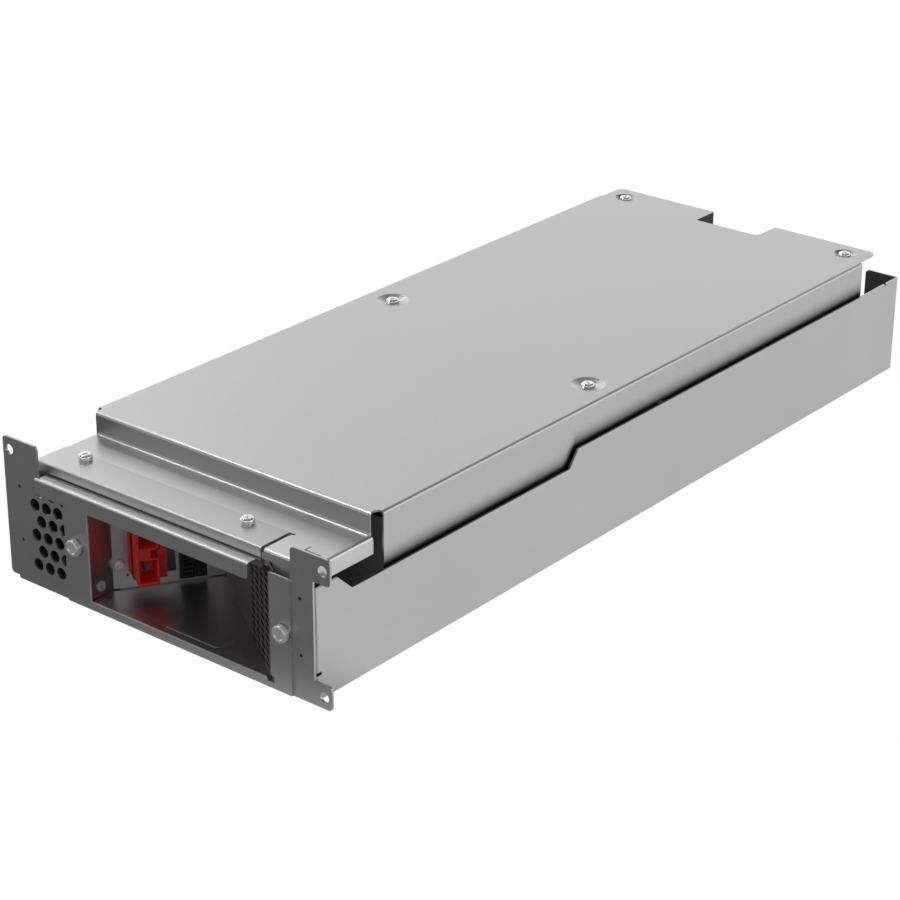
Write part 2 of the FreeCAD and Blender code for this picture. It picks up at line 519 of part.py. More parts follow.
def air_baffle():
    """Slanted screen from the right post to the back corner of the pocket."""
    back_x, back_y = POCKET_BACK
    start = V(BAFFLE_START_X, PLATE_SHEET, 0)
    along = (V(back_x, back_y, 0) - start).normalize()
    end = V(back_x, back_y, 0) - along * 0.6
    flange = 13.0
    screen = folded_xy([(end.x, end.y), (start.x, start.y), (start.x + flange, start.y)], BAFFLE_SHEET,
                       TRAY_SHEET + 0.2, POCKET_WALL_TOP_Z - 0.8)
    screen = screen.cut(box(0, start.x + flange + 1, 0, UNDER_FLANGE_Y, LEDGE_FRONT_BOTTOM_Z - 0.6,
                            POCKET_WALL_TOP_Z))
    hole = prism(SMALL_SIDES, PANEL_SCREW_HOLE, V(PANEL_SCREW_X[1], 0, PANEL_SCREW_Z), Y_AXIS, 4)
    return screen.cut(hole)


def pocket_roof():
    """Roof sheet resting on the two slanted walls of the pocket."""
    back_x, back_y = POCKET_BACK
    corner = 3.0
    front = LEDGE_FRONT_Y + COVER_SHEET + 3
    return plate_xy([(POCKET_LEFT_X - 1, front), (BAFFLE_START_X - 14, front),
                     (back_x + 8, back_y - 3), (back_x - 4, back_y - 3),
                     (POCKET_LEFT_X - 1, POCKET_BEND_Y + 1)],
                    POCKET_WALL_TOP_Z, POCKET_WALL_TOP_Z + 1.0, [corner, 0, corner, corner, 0])


def power_connector():
    """Two-pole battery plug, standing upright through the slanted wall, with
    an open chamber for each pole in front."""
    s0, s1 = POWER_PLUG_S
    z0, z1 = POWER_PLUG_Z
    base_reach, reach, wall = 9.0, 19.0, 1.0
    left, right = CHAMBER_S[0] - wall, CHAMBER_S[1] + wall
    lower, upper = CHAMBER_Z
    base = box(s0 + 0.2, s1 - 0.2, -base_reach, 30.0, z0 + 0.2, z1 - 0.2)
    collar = box(s0 - 1.2, s1 + 0.8, -2.2, 0, z0 + 2.4, z1 + 1.4)
    lower_shell = box(left, right, -reach, -base_reach, lower[0] - 2.2, lower[1] + wall)
    bridge = box(left, left + 7.6, -reach, -base_reach, lower[1], upper[0])
    upper_shell = box(left, right, -reach, -base_reach, upper[0] - wall, z1 - 0.2)
    key_s = s1 - 0.2
    key = plate_xz([(right, lower[0] - 0.8), (key_s, lower[0] - 0.8), (key_s, upper[0] + 1),
                    (right, lower[1] + 2)], -base_reach - 4.0, -base_reach)
    plug = fuse(base, collar, lower_shell, bridge, upper_shell, key)
    depth, cable_radius = 16.0, 3.4
    middle_s = (s0 + s1) / 2
    for low, high in CHAMBER_Z:
        plug = plug.cut(box(*CHAMBER_S, -reach - 1, -reach + depth, low, high))
        plug = plug.cut(prism(SMALL_SIDES, cable_radius, V(middle_s, 8.0, (low + high) / 2), Y_AXIS, 24))
    return on_wall(plug)


def power_contacts():
    """Silver-plated blade and crimp barrel in each chamber of the plug."""
    middle_s = sum(POWER_PLUG_S) / 2
    blade_s, barrel_y = 16.8, 8.0
    blades = []
    for low, high in CHAMBER_Z:
        z = (low + high) / 2
        blade = box(blade_s, blade_s + 2.0, -10.0, barrel_y + 1, z - 4.2, z + 4.2)
        barrel = prism(SMALL_SIDES, 3.2, V(middle_s, barrel_y, z), Y_AXIS, 12.0)
        bridge = box(blade_s, middle_s + 1, barrel_y + 0.2, barrel_y + 1.4, z - 2.8, z + 2.8)
        blades.append(on_wall(fuse(blade, bridge, barrel)))
    return Part.makeCompound(blades)


def signal_connector(index):
    """Upright multi-pin socket with ribbed sides and a row of contact slots."""
    s0, s1, z0, z1 = SIGNAL_PLUGS[index]
    reach = (4.0, 2.5)[index]
    body = box(s0 + 0.1, s1 - 0.1, -reach, 12.0, z0 + 0.1, z1 - 0.1)
    flange = box(s0 - 0.9, s1 + 0.6, -1.2, 0, z0 - 1.2, z1 + 1.2)
    plug = fuse(body, flange)
    rib_pitch, rib_cut = 3.0, 1.2
    count = int((z1 - z0 - 4) / rib_pitch)
    for k in range(count):
        z = z0 + 2.4 + k * rib_pitch
        plug = plug.cut(box(s0 + 1.4, s1 - 1.6, -reach - 1, -reach + 3.0, z, z + rib_cut))
    return on_wall(plug)


def signal_contacts():
    """Solder pins at the back of the two signal sockets."""
    pins = []
    pin_pitch, pin_half = 3.0, 0.35
    for s0, s1, z0, z1 in SIGNAL_PLUGS:
        for k in range(int((z1 - z0 - 4) / pin_pitch)):
            z = z0 + 3.0 + k * pin_pitch
            s = (s0 + s1) / 2
            pins.append(on_wall(box(s - pin_half, s + pin_half, 12.0, 17.0, z - pin_half, z + pin_half)))
    return Part.makeCompound(pins)


def toothed(x, radius, depth, teeth, back_y, height):
    """Disc with square teeth around it, standing forward from back_y."""
    outline = []
    for k in range(teeth):
        for part, r in ((0.0, radius), (0.45, radius), (0.5, radius - depth), (0.95, radius - depth)):
            angle = 2 * math.pi * (k + part) / teeth
            outline.append((x + r * math.cos(angle), PANEL_SCREW_Z + r * math.sin(angle)))
    return plate_xz(outline, back_y - height, back_y)


def panel_screws():
    """Captive thumbscrews of the front panel, each with a knurled head,
    dished in front, and a plain shank into the nut behind."""
    screws = []
    back = -PANEL_SHEET - RING_SHEET
    height = THUMB_REACH - PANEL_SHEET - RING_SHEET
    face, cap = 0.8, 0.9
    for x in PANEL_SCREW_X:
        knurl = toothed(x, THUMB_RADIUS, 0.3, 20, back, height - cap)
        front = V(x, back - height + cap, PANEL_SCREW_Z)
        crown = loft_up([(HEAD_SIDES, THUMB_RADIUS - 0.3, 0), (HEAD_SIDES, THUMB_RADIUS - 1.0, cap)],
                        front, -Y_AXIS)
        dish = loft_up([(HEAD_SIDES, THUMB_RADIUS - 2.6, 0), (HEAD_SIDES, THUMB_RADIUS - 1.8, face)],
                       front - Y_AXIS * (cap - face / 2), -Y_AXIS)
        shank = prism(SMALL_SIDES, SHANK_RADIUS, V(x, back, PANEL_SCREW_Z), Y_AXIS, 12.0)
        screws.append(fuse(knurl, crown, shank).cut(dish))
    return Part.makeCompound(screws)


def panel_screw_rings():
    """Toothed ring pressed into the panel under each thumbscrew."""
    rings = []
    for x in PANEL_SCREW_X:
        ring = toothed(x, RING_RADIUS, 0.7, 14, -PANEL_SHEET, RING_SHEET)
        place = V(x, -PANEL_SHEET, PANEL_SCREW_Z)
        sleeve = prism(SMALL_SIDES, PANEL_SCREW_HOLE - 0.1, place, Y_AXIS, PANEL_SHEET + 0.6)
        bore = prism(SMALL_SIDES, SHANK_RADIUS + 0.15, place - Y_AXIS * 3, Y_AXIS, 9)
        rings.append(fuse(ring, sleeve).cut(bore))
    return Part.makeCompound(rings)


def panel_screw_nuts():
    """Press nuts behind the front plate for the two thumbscrews."""
    depths = (PLATE_SHEET, PLATE_SHEET + BAFFLE_SHEET)
    return Part.makeCompound([press_nut(V(x, y, PANEL_SCREW_Z), Y_AXIS, 4.0, 2.9)
                              for x, y in zip(PANEL_SCREW_X, depths)])


def rivet_nut():
    """Blind rivet nut near the foot of the left pocket wall."""
    place = V(*RIVET_PLACE)
    flange = prism(HEAD_SIDES, 3.1, place, X_AXIS, 0.8)
    sleeve = prism(SMALL_SIDES, RIVET_SLEEVE, place, -X_AXIS, 6.0)
    return fuse(flange, sleeve).cut(prism(SMALL_SIDES, 1.0, place - X_AXIS * 7, X_AXIS, 9))


def wall_screw():
    """Screw that holds the connector bracket, seen beside the power plug."""
    s, _, z = WALL_SCREW
    return on_wall(pan_screw(V(s, 0, z), -Y_AXIS, 5.0, WALL_SCREW_SIZE))


def screw_group(places, seat_z, length):
    return Part.makeCompound([pan_screw(V(x, y, seat_z), Z_AXIS, length) for x, y in places])


def strip_washers():
    """Split spring washers under the two strip screws."""
    split = 0.6
    rings = []
    for x, y in STRIP_SCREWS:
        ring = prism(HEAD_SIDES, WASHER_RADIUS, V(x, y, STRIP_TOP_Z), Z_AXIS, WASHER)
        ring = ring.cut(prism(SMALL_SIDES, SHANK_RADIUS + 0.15, V(x, y, STRIP_TOP_Z - 1),
                              Z_AXIS, WASHER + 2))
        ring = ring.cut(box(x, x + WASHER_RADIUS + 1, y - split / 2, y + split / 2,
                            STRIP_TOP_Z - 1, STRIP_TOP_Z + WASHER + 1))
        rings.append(ring)
    return Part.makeCompound(rings)


def flange_spacers():
    """Spacers between the cover's side flanges and the tray walls."""
    outer = TRAY_WIDTH / 2 - TRAY_SHEET
    inner = COVER_WIDTH / 2
    spacers = []
    for side in (-1, 1):
        for along, z in SPACER_PLACES:
            start = V(side * inner, FIRST_CELL_Y + along * CELL_ROWS * CELL_SPACING_Y, z)
            spacers.append(prism(6, 3.4, start, X_AXIS * side, outer - inner))
    return Part.makeCompound(spacers)


def battery(column, row):
    """Sealed lead-acid block lying on its side, its lid facing the middle."""
    side = 1 if column else -1
    x0, x1 = sorted((side * AISLE_HALF, side * CELL_OUTER_X))
    y0 = FIRST_CELL_Y + row * CELL_SPACING_Y
    z0 = TRAY_SHEET + LINER
    block = box(x0, x1, y0, y0 + CELL_LENGTH, z0, z0 + CELL_HEIGHT)
    block = block.makeChamfer(1.2, [e for e in block.Edges if abs(e.tangentAt(0).x) > 0.9])
    lid_line = side * (AISLE_HALF + 14.0)
    sleeve = box(lid_line - 0.5, lid_line + 0.5, y0 - 1, y0 + CELL_LENGTH + 1, z0 - 1, z0 + CELL_HEIGHT + 1)
    core = box(x0, x1, y0 + 0.6, y0 + CELL_LENGTH - 0.6, z0 + 0.6, z0 + CELL_HEIGHT - 0.6)
    block = block.cut(sleeve.cut(core))
    face_x = side * AISLE_HALF
    strip_depth = 0.8
    lid_strip = box(*sorted((face_x, face_x + side * strip_depth)), y0 + 22, y0 + CELL_LENGTH - 22,
                    z0 + 26, z0 + 39)
    return block.cut(lid_strip)


def terminal_places():
    """Corner nearest the block of every terminal tab, with its side."""
    places = []
    for column in range(2):
        side = 1 if column else -1
        for row in range(CELL_ROWS):
            y0 = FIRST_CELL_Y + row * CELL_SPACING_Y
            for offset in (TERMINAL_INSET, CELL_LENGTH - TERMINAL_INSET):
                places.append((side, y0 + offset))
    return places


def battery_terminals():
    """Flat blade on the lid of each block, two to a block."""
    face = AISLE_HALF
    tabs = [box(*sorted((side * face, side * (face - 6.0))), y - 3.15, y + 3.15,
                TERMINAL_Z, TERMINAL_Z + 0.8) for side, y in terminal_places()]
    return Part.makeCompound(tabs)


def series_links():
    """Copper straps joining each block to the next along both sides of the
    aisle, and one strap across it at the back."""
    face = AISLE_HALF
    top = TERMINAL_Z + 0.8
    links = []
    for side in (-1, 1):
        for row in range(CELL_ROWS - 1):
            y0 = FIRST_CELL_Y + row * CELL_SPACING_Y + CELL_LENGTH - TERMINAL_INSET
            y1 = FIRST_CELL_Y + (row + 1) * CELL_SPACING_Y + TERMINAL_INSET
            links.append(box(*sorted((side * (face - 5.6), side * (face - 0.6))), y0 - 3, y1 + 3,
                             top, top + 0.8))
    last = FIRST_CELL_Y + (CELL_ROWS - 1) * CELL_SPACING_Y + CELL_LENGTH - TERMINAL_INSET
    links.append(box(-face + 0.6, face - 0.6, last - 3, last + 3, top, top + 0.8))
    return Part.makeCompound(links)


def lead(points, radius, bend):
    """Round insulated lead along straight runs joined by bends."""
    corners = [V(*p) for p in points]
    path = [corners[0]]
    for a, b, c in zip(corners, corners[1:], corners[2:]):
        path += bent_corner((a - b).normalize(), b, (c - b).normalize(), bend, LEAD_STEPS)
    path.append(corners[-1])
    turn = FreeCAD.Rotation(Z_AXIS, (path[1] - path[0]).normalize())
    ring = [path[0] + turn.multVec(V(x, y, 0)) for x, y in round_points(radius, LEAD_SIDES)]
    rings = [ring]
    for i, place in enumerate(path[1:], 1):
        way = (place - path[i - 1]).normalize()
        onward = (path[i + 1] - place).normalize() if i + 1 < len(path) else way
        mitre = way + onward
        ring = [point + way * ((place - point).dot(mitre) / way.dot(mitre)) for point in ring]
        rings.append(ring)
    return Part.makeLoft([Part.makePolygon(ring + ring[:1]) for ring in rings], True, True)


def power_lead(upper):
    """Lead from a crimp barrel of the power plug to the first block."""
    middle_s = sum(POWER_PLUG_S) / 2
    z = sum(CHAMBER_Z[1 if upper else 0]) / 2
    plug_end = wall_frame().multVec(V(middle_s, 20.0, z))
    plug_out = wall_frame().multVec(V(middle_s, 36.0, z))
    x = 4.0 if upper else -4.0
    height = LEAD_HOLE_Z + (6.0 if upper else -6.0)
    run_y = DIVIDER_Y - LEAD_RADIUS - 0.2
    return lead([tuple(plug_end), tuple(plug_out), (plug_out.x + 6, run_y, height),
                 (x, run_y, height), (x, FIRST_CELL_Y + TERMINAL_INSET, height)], LEAD_RADIUS, 4.0)


def battery_liner():
    """Insulating sheet on the tray floor under the blocks."""
    return box(-CELL_OUTER_X, CELL_OUTER_X, DIVIDER_Y + 2.0, REAR_STOP_Y - 0.2, TRAY_SHEET,
               TRAY_SHEET + LINER)


def front_divider():
    """Upright sheet between the connector pocket and the blocks."""
    half = CELL_OUTER_X - 0.5
    wall = folded_xy([(-half, DIVIDER_Y - 12), (-half, DIVIDER_Y), (half, DIVIDER_Y),
                      (half, DIVIDER_Y - 12)], 1.2, TRAY_SHEET, CELL_TOP_Z + 6, HIDDEN_STEPS)
    wall = wall.cut(box(-9, 9, DIVIDER_Y - 1, DIVIDER_Y + 2, LEAD_HOLE_Z - 10, LEAD_HOLE_Z + 10))
    return wall


def end_pad(y0, y1, hole):
    pad = box(-CELL_OUTER_X + 1, CELL_OUTER_X - 1, y0, y1, TRAY_SHEET + 3, CELL_TOP_Z - 3)
    if hole:
        pad = pad.cut(box(-11, 11, y0 - 1, y1 + 1, LEAD_HOLE_Z - 12, LEAD_HOLE_Z + 12))
    return pad


def rear_stop():
    """Angle across the tray that keeps the blocks from sliding back."""
    back = REAR_STOP_Y + 1.2
    return folded_yz([(back + 16, TRAY_SHEET + 1.2), (back, TRAY_SHEET + 1.2), (back, 60.0)], 1.2,
                     -CELL_OUTER_X + 1, CELL_OUTER_X - 1, steps=HIDDEN_STEPS)


def rear_post(side, screw):
    """Folded post at a rear corner that takes a cover screw: side is 1 for
    the right one and -1 for the left."""
    outer = SCREW_X + 6.5
    foot, inner = outer + 5.8, outer - 24.0
    points = [(foot, TRAY_SHEET + 1.2), (outer, TRAY_SHEET + 1.2), (outer, SEAT_Z), (inner, SEAT_Z)]
    if side < 0:
        points = [(-x, z) for x, z in reversed(points)]
    post = folded_xz(points, 1.2, TRAY_DEPTH - 47.0, TRAY_DEPTH - 29.5, HIDDEN_STEPS)
    x, y = screw
    return post.cut(prism(SMALL_SIDES, SHANK_RADIUS, V(x, y, SEAT_Z - 3), Z_AXIS, 5))


def hold_down(x, y):
    """Hat-section rail under the cover that presses a foam pad onto a block."""
    foot = CELL_TOP_Z + HOLD_PAD + 1.2
    rail = folded_xz([(x + 15, foot), (x + 9, foot), (x + 9, SEAT_Z), (x - 9, SEAT_Z), (x - 9, foot),
                      (x - 15, foot)], 1.2, y - RAIL_REACH, y + RAIL_REACH, HIDDEN_STEPS)
    return rail.cut(prism(SMALL_SIDES, SHANK_RADIUS, V(x, y, SEAT_Z - 3), Z_AXIS, 5))


def hold_down_pad(x, y):
    return box(x - 14.5, x + 14.5, y - RAIL_REACH, y + RAIL_REACH, CELL_TOP_Z, CELL_TOP_Z + HOLD_PAD)


def cover_nuts():
    """Press nuts under the hold-down rails and the rear posts."""
    seat = SEAT_Z - COVER_SHEET
    return Part.makeCompound([press_nut(V(x, y, seat), -Z_AXIS, 3.0) for x, y in COVER_SCREWS])


def strip_nuts():
    """Press nuts under the ledge for the two strip screws."""
    seat = LEDGE_TOP_Z - COVER_SHEET
    return Part.makeCompound([press_nut(V(x, y, seat), -Z_AXIS, 1.6) for x, y in STRIP_SCREWS])


def fuse_holder():
    """Black block across the aisle with a clip at each end of the fuse."""
    y = FUSE_Y
    base = box(-34, 34, y - 11, y + 11, CELL_TOP_Z, CELL_TOP_Z + 4)
    for side in (-1, 1):
        clip = box(*sorted((side * 18, side * 24)), y - 8, y + 8, CELL_TOP_Z + 4, CELL_TOP_Z + 14)
        base = fuse(base, clip)
    return base.cut(prism(HEAD_SIDES, FUSE_CAP_RADIUS + 0.1, V(-30, y, FUSE_Z), X_AXIS, 60))


def fuse_body():
    """Ceramic barrel of the fuse with a metal cap at each end."""
    barrel = prism(HEAD_SIDES, 4.6, V(-17.5, FUSE_Y, FUSE_Z), X_AXIS, 35.0)
    caps = [prism(HEAD_SIDES, FUSE_CAP_RADIUS, V(start, FUSE_Y, FUSE_Z), X_AXIS, 8.0)
            for start in (-25.5, 17.5)]
    return fuse(barrel, *caps)


def pocket_film():
    """Clear insulating film lying on the pocket floor."""
    outline = [(-8.5, 10.0), (31.4, 10.0), (33.6, 21.4), (-16.0, 55.0), (-24.0, 55.0), (-26.0, 40.0)]
    return plate_xy(outline, TRAY_SHEET, TRAY_SHEET + 0.3, [0, 2.5, 0, 0, 0, 0])


nodes = {
    "tray": tray(),
    "front_plate": front_plate(),
    "front_panel": front_panel(),
    "front_stiffener": front_stiffener(),
    "top_cover": top_cover(),
    "ledge_strip": ledge_strip(),
    "connector_bracket": connector_bracket(),
    "air_baffle": air_baffle(),
    "pocket_roof": pocket_roof(),
    "pocket_film": pocket_film(),
    "power_connector": power_connector().cut(power_contacts()),
    "power_contacts": power_contacts(),
    "signal_connector_wide": signal_connector(0),
    "signal_connector_narrow": signal_connector(1),
    "signal_contacts": signal_contacts(),
    "panel_screws": panel_screws(),
    "panel_screw_rings": panel_screw_rings(),
    "panel_screw_nuts": panel_screw_nuts(),
    "rivet_nut": rivet_nut(),
    "bracket_screw": wall_screw(),
    "strip_screws": screw_group(STRIP_SCREWS, STRIP_TOP_Z + WASHER, 5.0),
    "strip_washers": strip_washers(),
    "strip_nuts": strip_nuts(),
    "cover_screws": screw_group(COVER_SCREWS, COVER_TOP_Z - DIMPLE_DEPTH, 5.0),
    "cover_nuts": cover_nuts(),
    "flange_spacers": flange_spacers(),
    "battery_liner": battery_liner(),
    "battery_terminals": battery_terminals(),
    "series_links": series_links(),
    "power_lead_positive": power_lead(True),
    "power_lead_negative": power_lead(False),
    "front_divider": front_divider(),
    "front_pad": end_pad(DIVIDER_Y + 1.2, FIRST_CELL_Y, True),
    "rear_pad": end_pad(REAR_STOP_Y - PAD_THICKNESS, REAR_STOP_Y, False),
    "rear_stop": rear_stop(),
    "rear_post_right": rear_post(1, REAR_COVER_SCREWS[1]),
    "rear_post_left": rear_post(-1, REAR_COVER_SCREWS[0]),
    "hold_down_left": hold_down(*COVER_SCREWS[0]),
    "hold_down_right": hold_down(*COVER_SCREWS[1]),
    "hold_down_pad_left": hold_down_pad(*COVER_SCREWS[0]),
    "hold_down_pad_right": hold_down_pad(*COVER_SCREWS[1]),
    "fuse_holder": fuse_holder(),
    "fuse": fuse_body(),
}
SIDE_NAMES = ("left", "right")
ROW_NAMES = ("front", "middle", "rear")
for column, side_name in enumerate(SIDE_NAMES):
    for row, row_name in enumerate(ROW_NAMES):
        nodes["battery_%s_%s" % (row_name, side_name)] = battery(column, row)

# Depths above are counted from the front plate's face; here the whole
# length, thumbscrew heads included, is centred on the origin.
CENTRING = V(0, (THUMB_REACH - TRAY_DEPTH) / 2, 0)
os.makedirs("parts", exist_ok=True)
for name, shape in nodes.items():
    shape.translated(CENTRING).exportStep("parts/%s.step" % name)
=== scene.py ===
import bmesh
import bpy
import math
from mathutils import Matrix, Vector


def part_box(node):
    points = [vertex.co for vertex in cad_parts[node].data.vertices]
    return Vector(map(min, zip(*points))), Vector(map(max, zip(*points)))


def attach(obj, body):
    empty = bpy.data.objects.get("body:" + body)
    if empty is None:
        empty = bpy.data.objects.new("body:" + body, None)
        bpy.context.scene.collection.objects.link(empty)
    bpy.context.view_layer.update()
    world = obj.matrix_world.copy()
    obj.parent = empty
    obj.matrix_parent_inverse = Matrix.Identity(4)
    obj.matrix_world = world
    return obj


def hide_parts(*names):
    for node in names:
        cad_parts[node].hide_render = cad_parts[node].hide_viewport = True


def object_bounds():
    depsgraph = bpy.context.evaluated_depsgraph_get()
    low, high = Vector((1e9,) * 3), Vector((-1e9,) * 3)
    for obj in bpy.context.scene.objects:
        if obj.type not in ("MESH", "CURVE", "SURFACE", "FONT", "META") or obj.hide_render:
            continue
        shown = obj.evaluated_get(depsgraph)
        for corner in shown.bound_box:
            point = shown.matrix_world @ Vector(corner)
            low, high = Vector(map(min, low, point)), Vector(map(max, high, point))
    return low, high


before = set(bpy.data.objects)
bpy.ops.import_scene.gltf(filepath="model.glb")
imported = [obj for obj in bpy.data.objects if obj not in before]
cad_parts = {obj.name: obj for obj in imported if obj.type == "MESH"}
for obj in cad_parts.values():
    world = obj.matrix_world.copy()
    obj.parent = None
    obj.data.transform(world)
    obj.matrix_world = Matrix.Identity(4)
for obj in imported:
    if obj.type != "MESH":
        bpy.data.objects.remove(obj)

cad_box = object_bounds()

# Tray of the cartridge: one sheet of galvanised steel folded up at both sides,
# whose top edges step down towards the front. The zinc is satin, with a fine
# grain and a slow cloudiness from the rolling of the sheet.


class Socket:
    """One output of a node, so that shader maths reads as plain sums."""

    def __init__(self, finish, output):
        self.finish = finish
        self.output = output

    def math(self, operation, *ends):
        return self.finish.node("ShaderNodeMath", {"operation": operation}, dict(enumerate(ends)))[0]

    def __add__(self, other):
        return self.math("ADD", self, other)

    __radd__ = __add__

    def __mul__(self, other):
        return self.math("MULTIPLY", self, other)

    __rmul__ = __mul__

    def __sub__(self, other):
        return self.math("SUBTRACT", self, other)

    def __rsub__(self, other):
        return self.math("SUBTRACT", other, self)

    def __abs__(self):
        return self.math("ABSOLUTE", self)


class Finish:
    """A material whose nodes are added one after another."""

    def __init__(self, name, owner=None):
        self.material = owner or bpy.data.materials.new(name)
        self.material.use_nodes = True
        self.tree = self.material.node_tree
        self.tree.nodes.clear()
        self.place = self.node("ShaderNodeTexCoord")["Object"]

    def node(self, kind, settings=None, inputs=None):
        made = self.tree.nodes.new(kind)
        for name, value in (settings or {}).items():
            setattr(made, name, value)
        for name, value in (inputs or {}).items():
            if isinstance(value, Socket):
                self.tree.links.new(value.output, made.inputs[name])
            else:
                made.inputs[name].default_value = value
        return Outputs(self, made)

    def axes(self):
        """The x, y and z of the place on the object."""
        parts = self.node("ShaderNodeSeparateXYZ", None, {"Vector": self.place})
        return parts["X"], parts["Y"], parts["Z"]

    def noise(self, scale, detail):
        settings = {"Vector": self.place, "Scale": scale, "Detail": detail}
        return self.node("ShaderNodeTexNoise", None, settings)["Fac"]

    def spread(self, value, low, high, start=0.3, end=0.7):
        """From low at start to high at end. A noise lies mostly between 0.3 and 0.7."""
        return self.node("ShaderNodeMapRange", None, {
            "Value": value, "From Min": start, "From Max": end, "To Min": low, "To Max": high})["Result"]

    def above(self, value, start, end):
        """0 up to start, rising to 1 at end."""
        return self.spread(value, 0.0, 1.0, start, end)

    def below(self, value, start, end):
        """1 up to start, falling to 0 at end."""
        return self.spread(value, 1.0, 0.0, start, end)

    def between(self, mask, first, second):
        """Two colours mixed: 6, 7 and 2 are the Mix node's colour sockets."""
        mixed = self.node("ShaderNodeMix", {"data_type": "RGBA"}, {
            "Factor": mask, 6: first, 7: second})
        return mixed[2]

    def bump(self, height, strength, distance):
        return self.node("ShaderNodeBump", None, {
            "Height": height, "Strength": strength, "Distance": distance})["Normal"]

    def surface(self, **sockets):
        values = {name.replace("_", " "): value for name, value in sockets.items()}
        shader = self.node("ShaderNodeBsdfPrincipled", None, values)["BSDF"]
        self.node("ShaderNodeOutputMaterial", None, {"Surface": shader})
        return self.material


class Outputs:
    """The outputs of one node, by name or by number."""

    def __init__(self, finish, made):
        self.finish = finish
        self.made = made

    def __getitem__(self, name):
        return Socket(self.finish, self.made.outputs[name])


def galvanised(name, light=0.62, rough=0.36, grain=1.0, metal=1.0, tint=(1, 1, 1), painted_light_and_shade=()):
    """Zinc-coated steel. Each entry of painted light and shade has a function that makes a 0 to 1 mask of its
    places, the factor that paints their colour lighter (above 1) or darker (below 1), and how metallic they
    look."""
    zinc = Finish(name)
    cloud = zinc.noise(9.0, 4.0)
    spangle = zinc.noise(420.0, 2.0)
    speck = zinc.noise(1500.0, 2.0)
    tone = zinc.spread(cloud * 0.6 + spangle * 0.4, 0.0, 1.0)
    low, high = [tuple(light * side * part for part in tint) + (1,) for side in (0.95, 1.05)]
    colour = zinc.between(tone, low, high)
    for mask, factor, bare in painted_light_and_shade:
        painted_mask = mask(zinc)
        painted_colour = tuple(min(light * factor * part, 1.0) for part in tint) + (1,)
        colour = zinc.between(painted_mask, colour, painted_colour)
        metal = painted_mask * bare + (1.0 - painted_mask) * metal
    wear = cloud * 0.35 + spangle * 0.35 + speck * 0.3
    roughness = zinc.spread(wear, rough - 0.05 * grain, rough + 0.05 * grain)
    normal = zinc.bump(speck * 0.6 + spangle * 0.4, 0.06 * grain, 0.0004)
    return zinc.surface(Base_Color=colour, Metallic=metal, Roughness=roughness, Normal=normal)


def dress(material, *nodes):
    for node in nodes:
        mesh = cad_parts[node].data
        mesh.materials.clear()
        mesh.materials.append(material)


tray_zinc = galvanised("tray_zinc")
dress(tray_zinc, "tray")

# Front plate: galvanised sheet with the rack ears, the cooling vents and the
# pilot holes cut in it, spot welded to the tray's front edge.

plate_zinc = galvanised("plate_zinc", light=0.58, rough=0.4)
dress(plate_zinc, "front_plate")

# Front panel: a C-shaped frame of sheet around the connector pocket, folded
# back in a lip along its top and held on the plate by two thumbscrews.

# A rise or a fall is the pair of places where a mask starts and ends its change.
OPENING_LEFT_X, OPENING_RIGHT_X = -0.0580, 0.0834
OPENING_BOTTOM_Z, OPENING_TOP_Z = 0.0051, 0.0612
LIP_TOP_RISE = 0.0710, 0.0712
LIP_RIGHT_FALL = 0.0740, 0.0745
HAIR = 0.0001


def lip_top_painted_light(zinc):
    """Mask of the top of the folded lip, left of the right post, where light is painted on to make it
    lighter.
    """
    x, _, z = zinc.axes()
    return zinc.above(z, *LIP_TOP_RISE) * zinc.below(x, *LIP_RIGHT_FALL)


def cut_edge_painted_highlights(zinc):
    """Mask of the sheared edges left of and below the pocket's opening, where a thin highlight is painted on,
    lighter and less metallic.
    """
    x, _, z = zinc.axes()
    upright = (zinc.above(z, OPENING_BOTTOM_Z - HAIR, OPENING_BOTTOM_Z)
               * zinc.below(z, OPENING_TOP_Z, OPENING_TOP_Z + HAIR))
    level = (zinc.above(x, OPENING_LEFT_X - HAIR, OPENING_LEFT_X)
             * zinc.below(x, OPENING_RIGHT_X, OPENING_RIGHT_X + HAIR))
    left = zinc.below(abs(x - OPENING_LEFT_X), HAIR, 2 * HAIR)
    bottom = zinc.below(abs(z - OPENING_BOTTOM_Z), HAIR, 2 * HAIR)
    return left * upright + bottom * level


panel_zinc = galvanised("panel_zinc", light=0.62, rough=0.38,
                        painted_light_and_shade=[(lip_top_painted_light, 1.5, 1.0), (cut_edge_painted_highlights, 1.3, 0.25)])
dress(panel_zinc, "front_panel")

# Cover: one sheet folded to a raised top, a riser and a low ledge in front,
# with flanges inside the tray. A thinner folded strip is screwed on the ledge.

THUMB_REACH = 5.1


def frame_y(front_distance):
    """The frame's y in metres of a distance behind the front plate in mm. The
    box of the object starts at the thumbscrews, which reach before the plate."""
    return cad_box[0][1] + (front_distance + THUMB_REACH) / 1000


TRAY_HIGH_Z, TRAY_STEP = 0.0693, 0.0106
STEP_DOWN, STEP_UP = (frame_y(20.3), frame_y(31.8)), (frame_y(228.3), frame_y(236.8))
GAP_SHADE_FALL = 0.0015, 0.0135
FLANK_RISE, FLANK_FRONT_RISE = (0.1108, 0.1111), (frame_y(58.0), frame_y(60.0))
LEDGE_TOP_FALL, LEDGE_BACK_FALL = (0.0785, 0.0787), (frame_y(57.0), frame_y(58.0))
LEDGE_LEFT_RISE = -0.1, -0.06
RISER_FOOT_RISE, RISER_TOP_FALL = (0.0800, 0.0802), (0.0900, 0.0905)
RISER_BACK_FALL = frame_y(60.5), frame_y(61.0)


def beside_tray(zinc):
    """Mask of the cover's flanks just above the stepped edge of the tray,
    where the narrow gap between them takes the light away."""
    x, y, z = zinc.axes()
    edge = TRAY_HIGH_Z - zinc.above(y, *STEP_DOWN) * zinc.below(y, *STEP_UP) * TRAY_STEP
    near = zinc.below(z - edge, *GAP_SHADE_FALL)
    return near * near * zinc.above(y, *FLANK_FRONT_RISE) * zinc.above(abs(x), *FLANK_RISE)


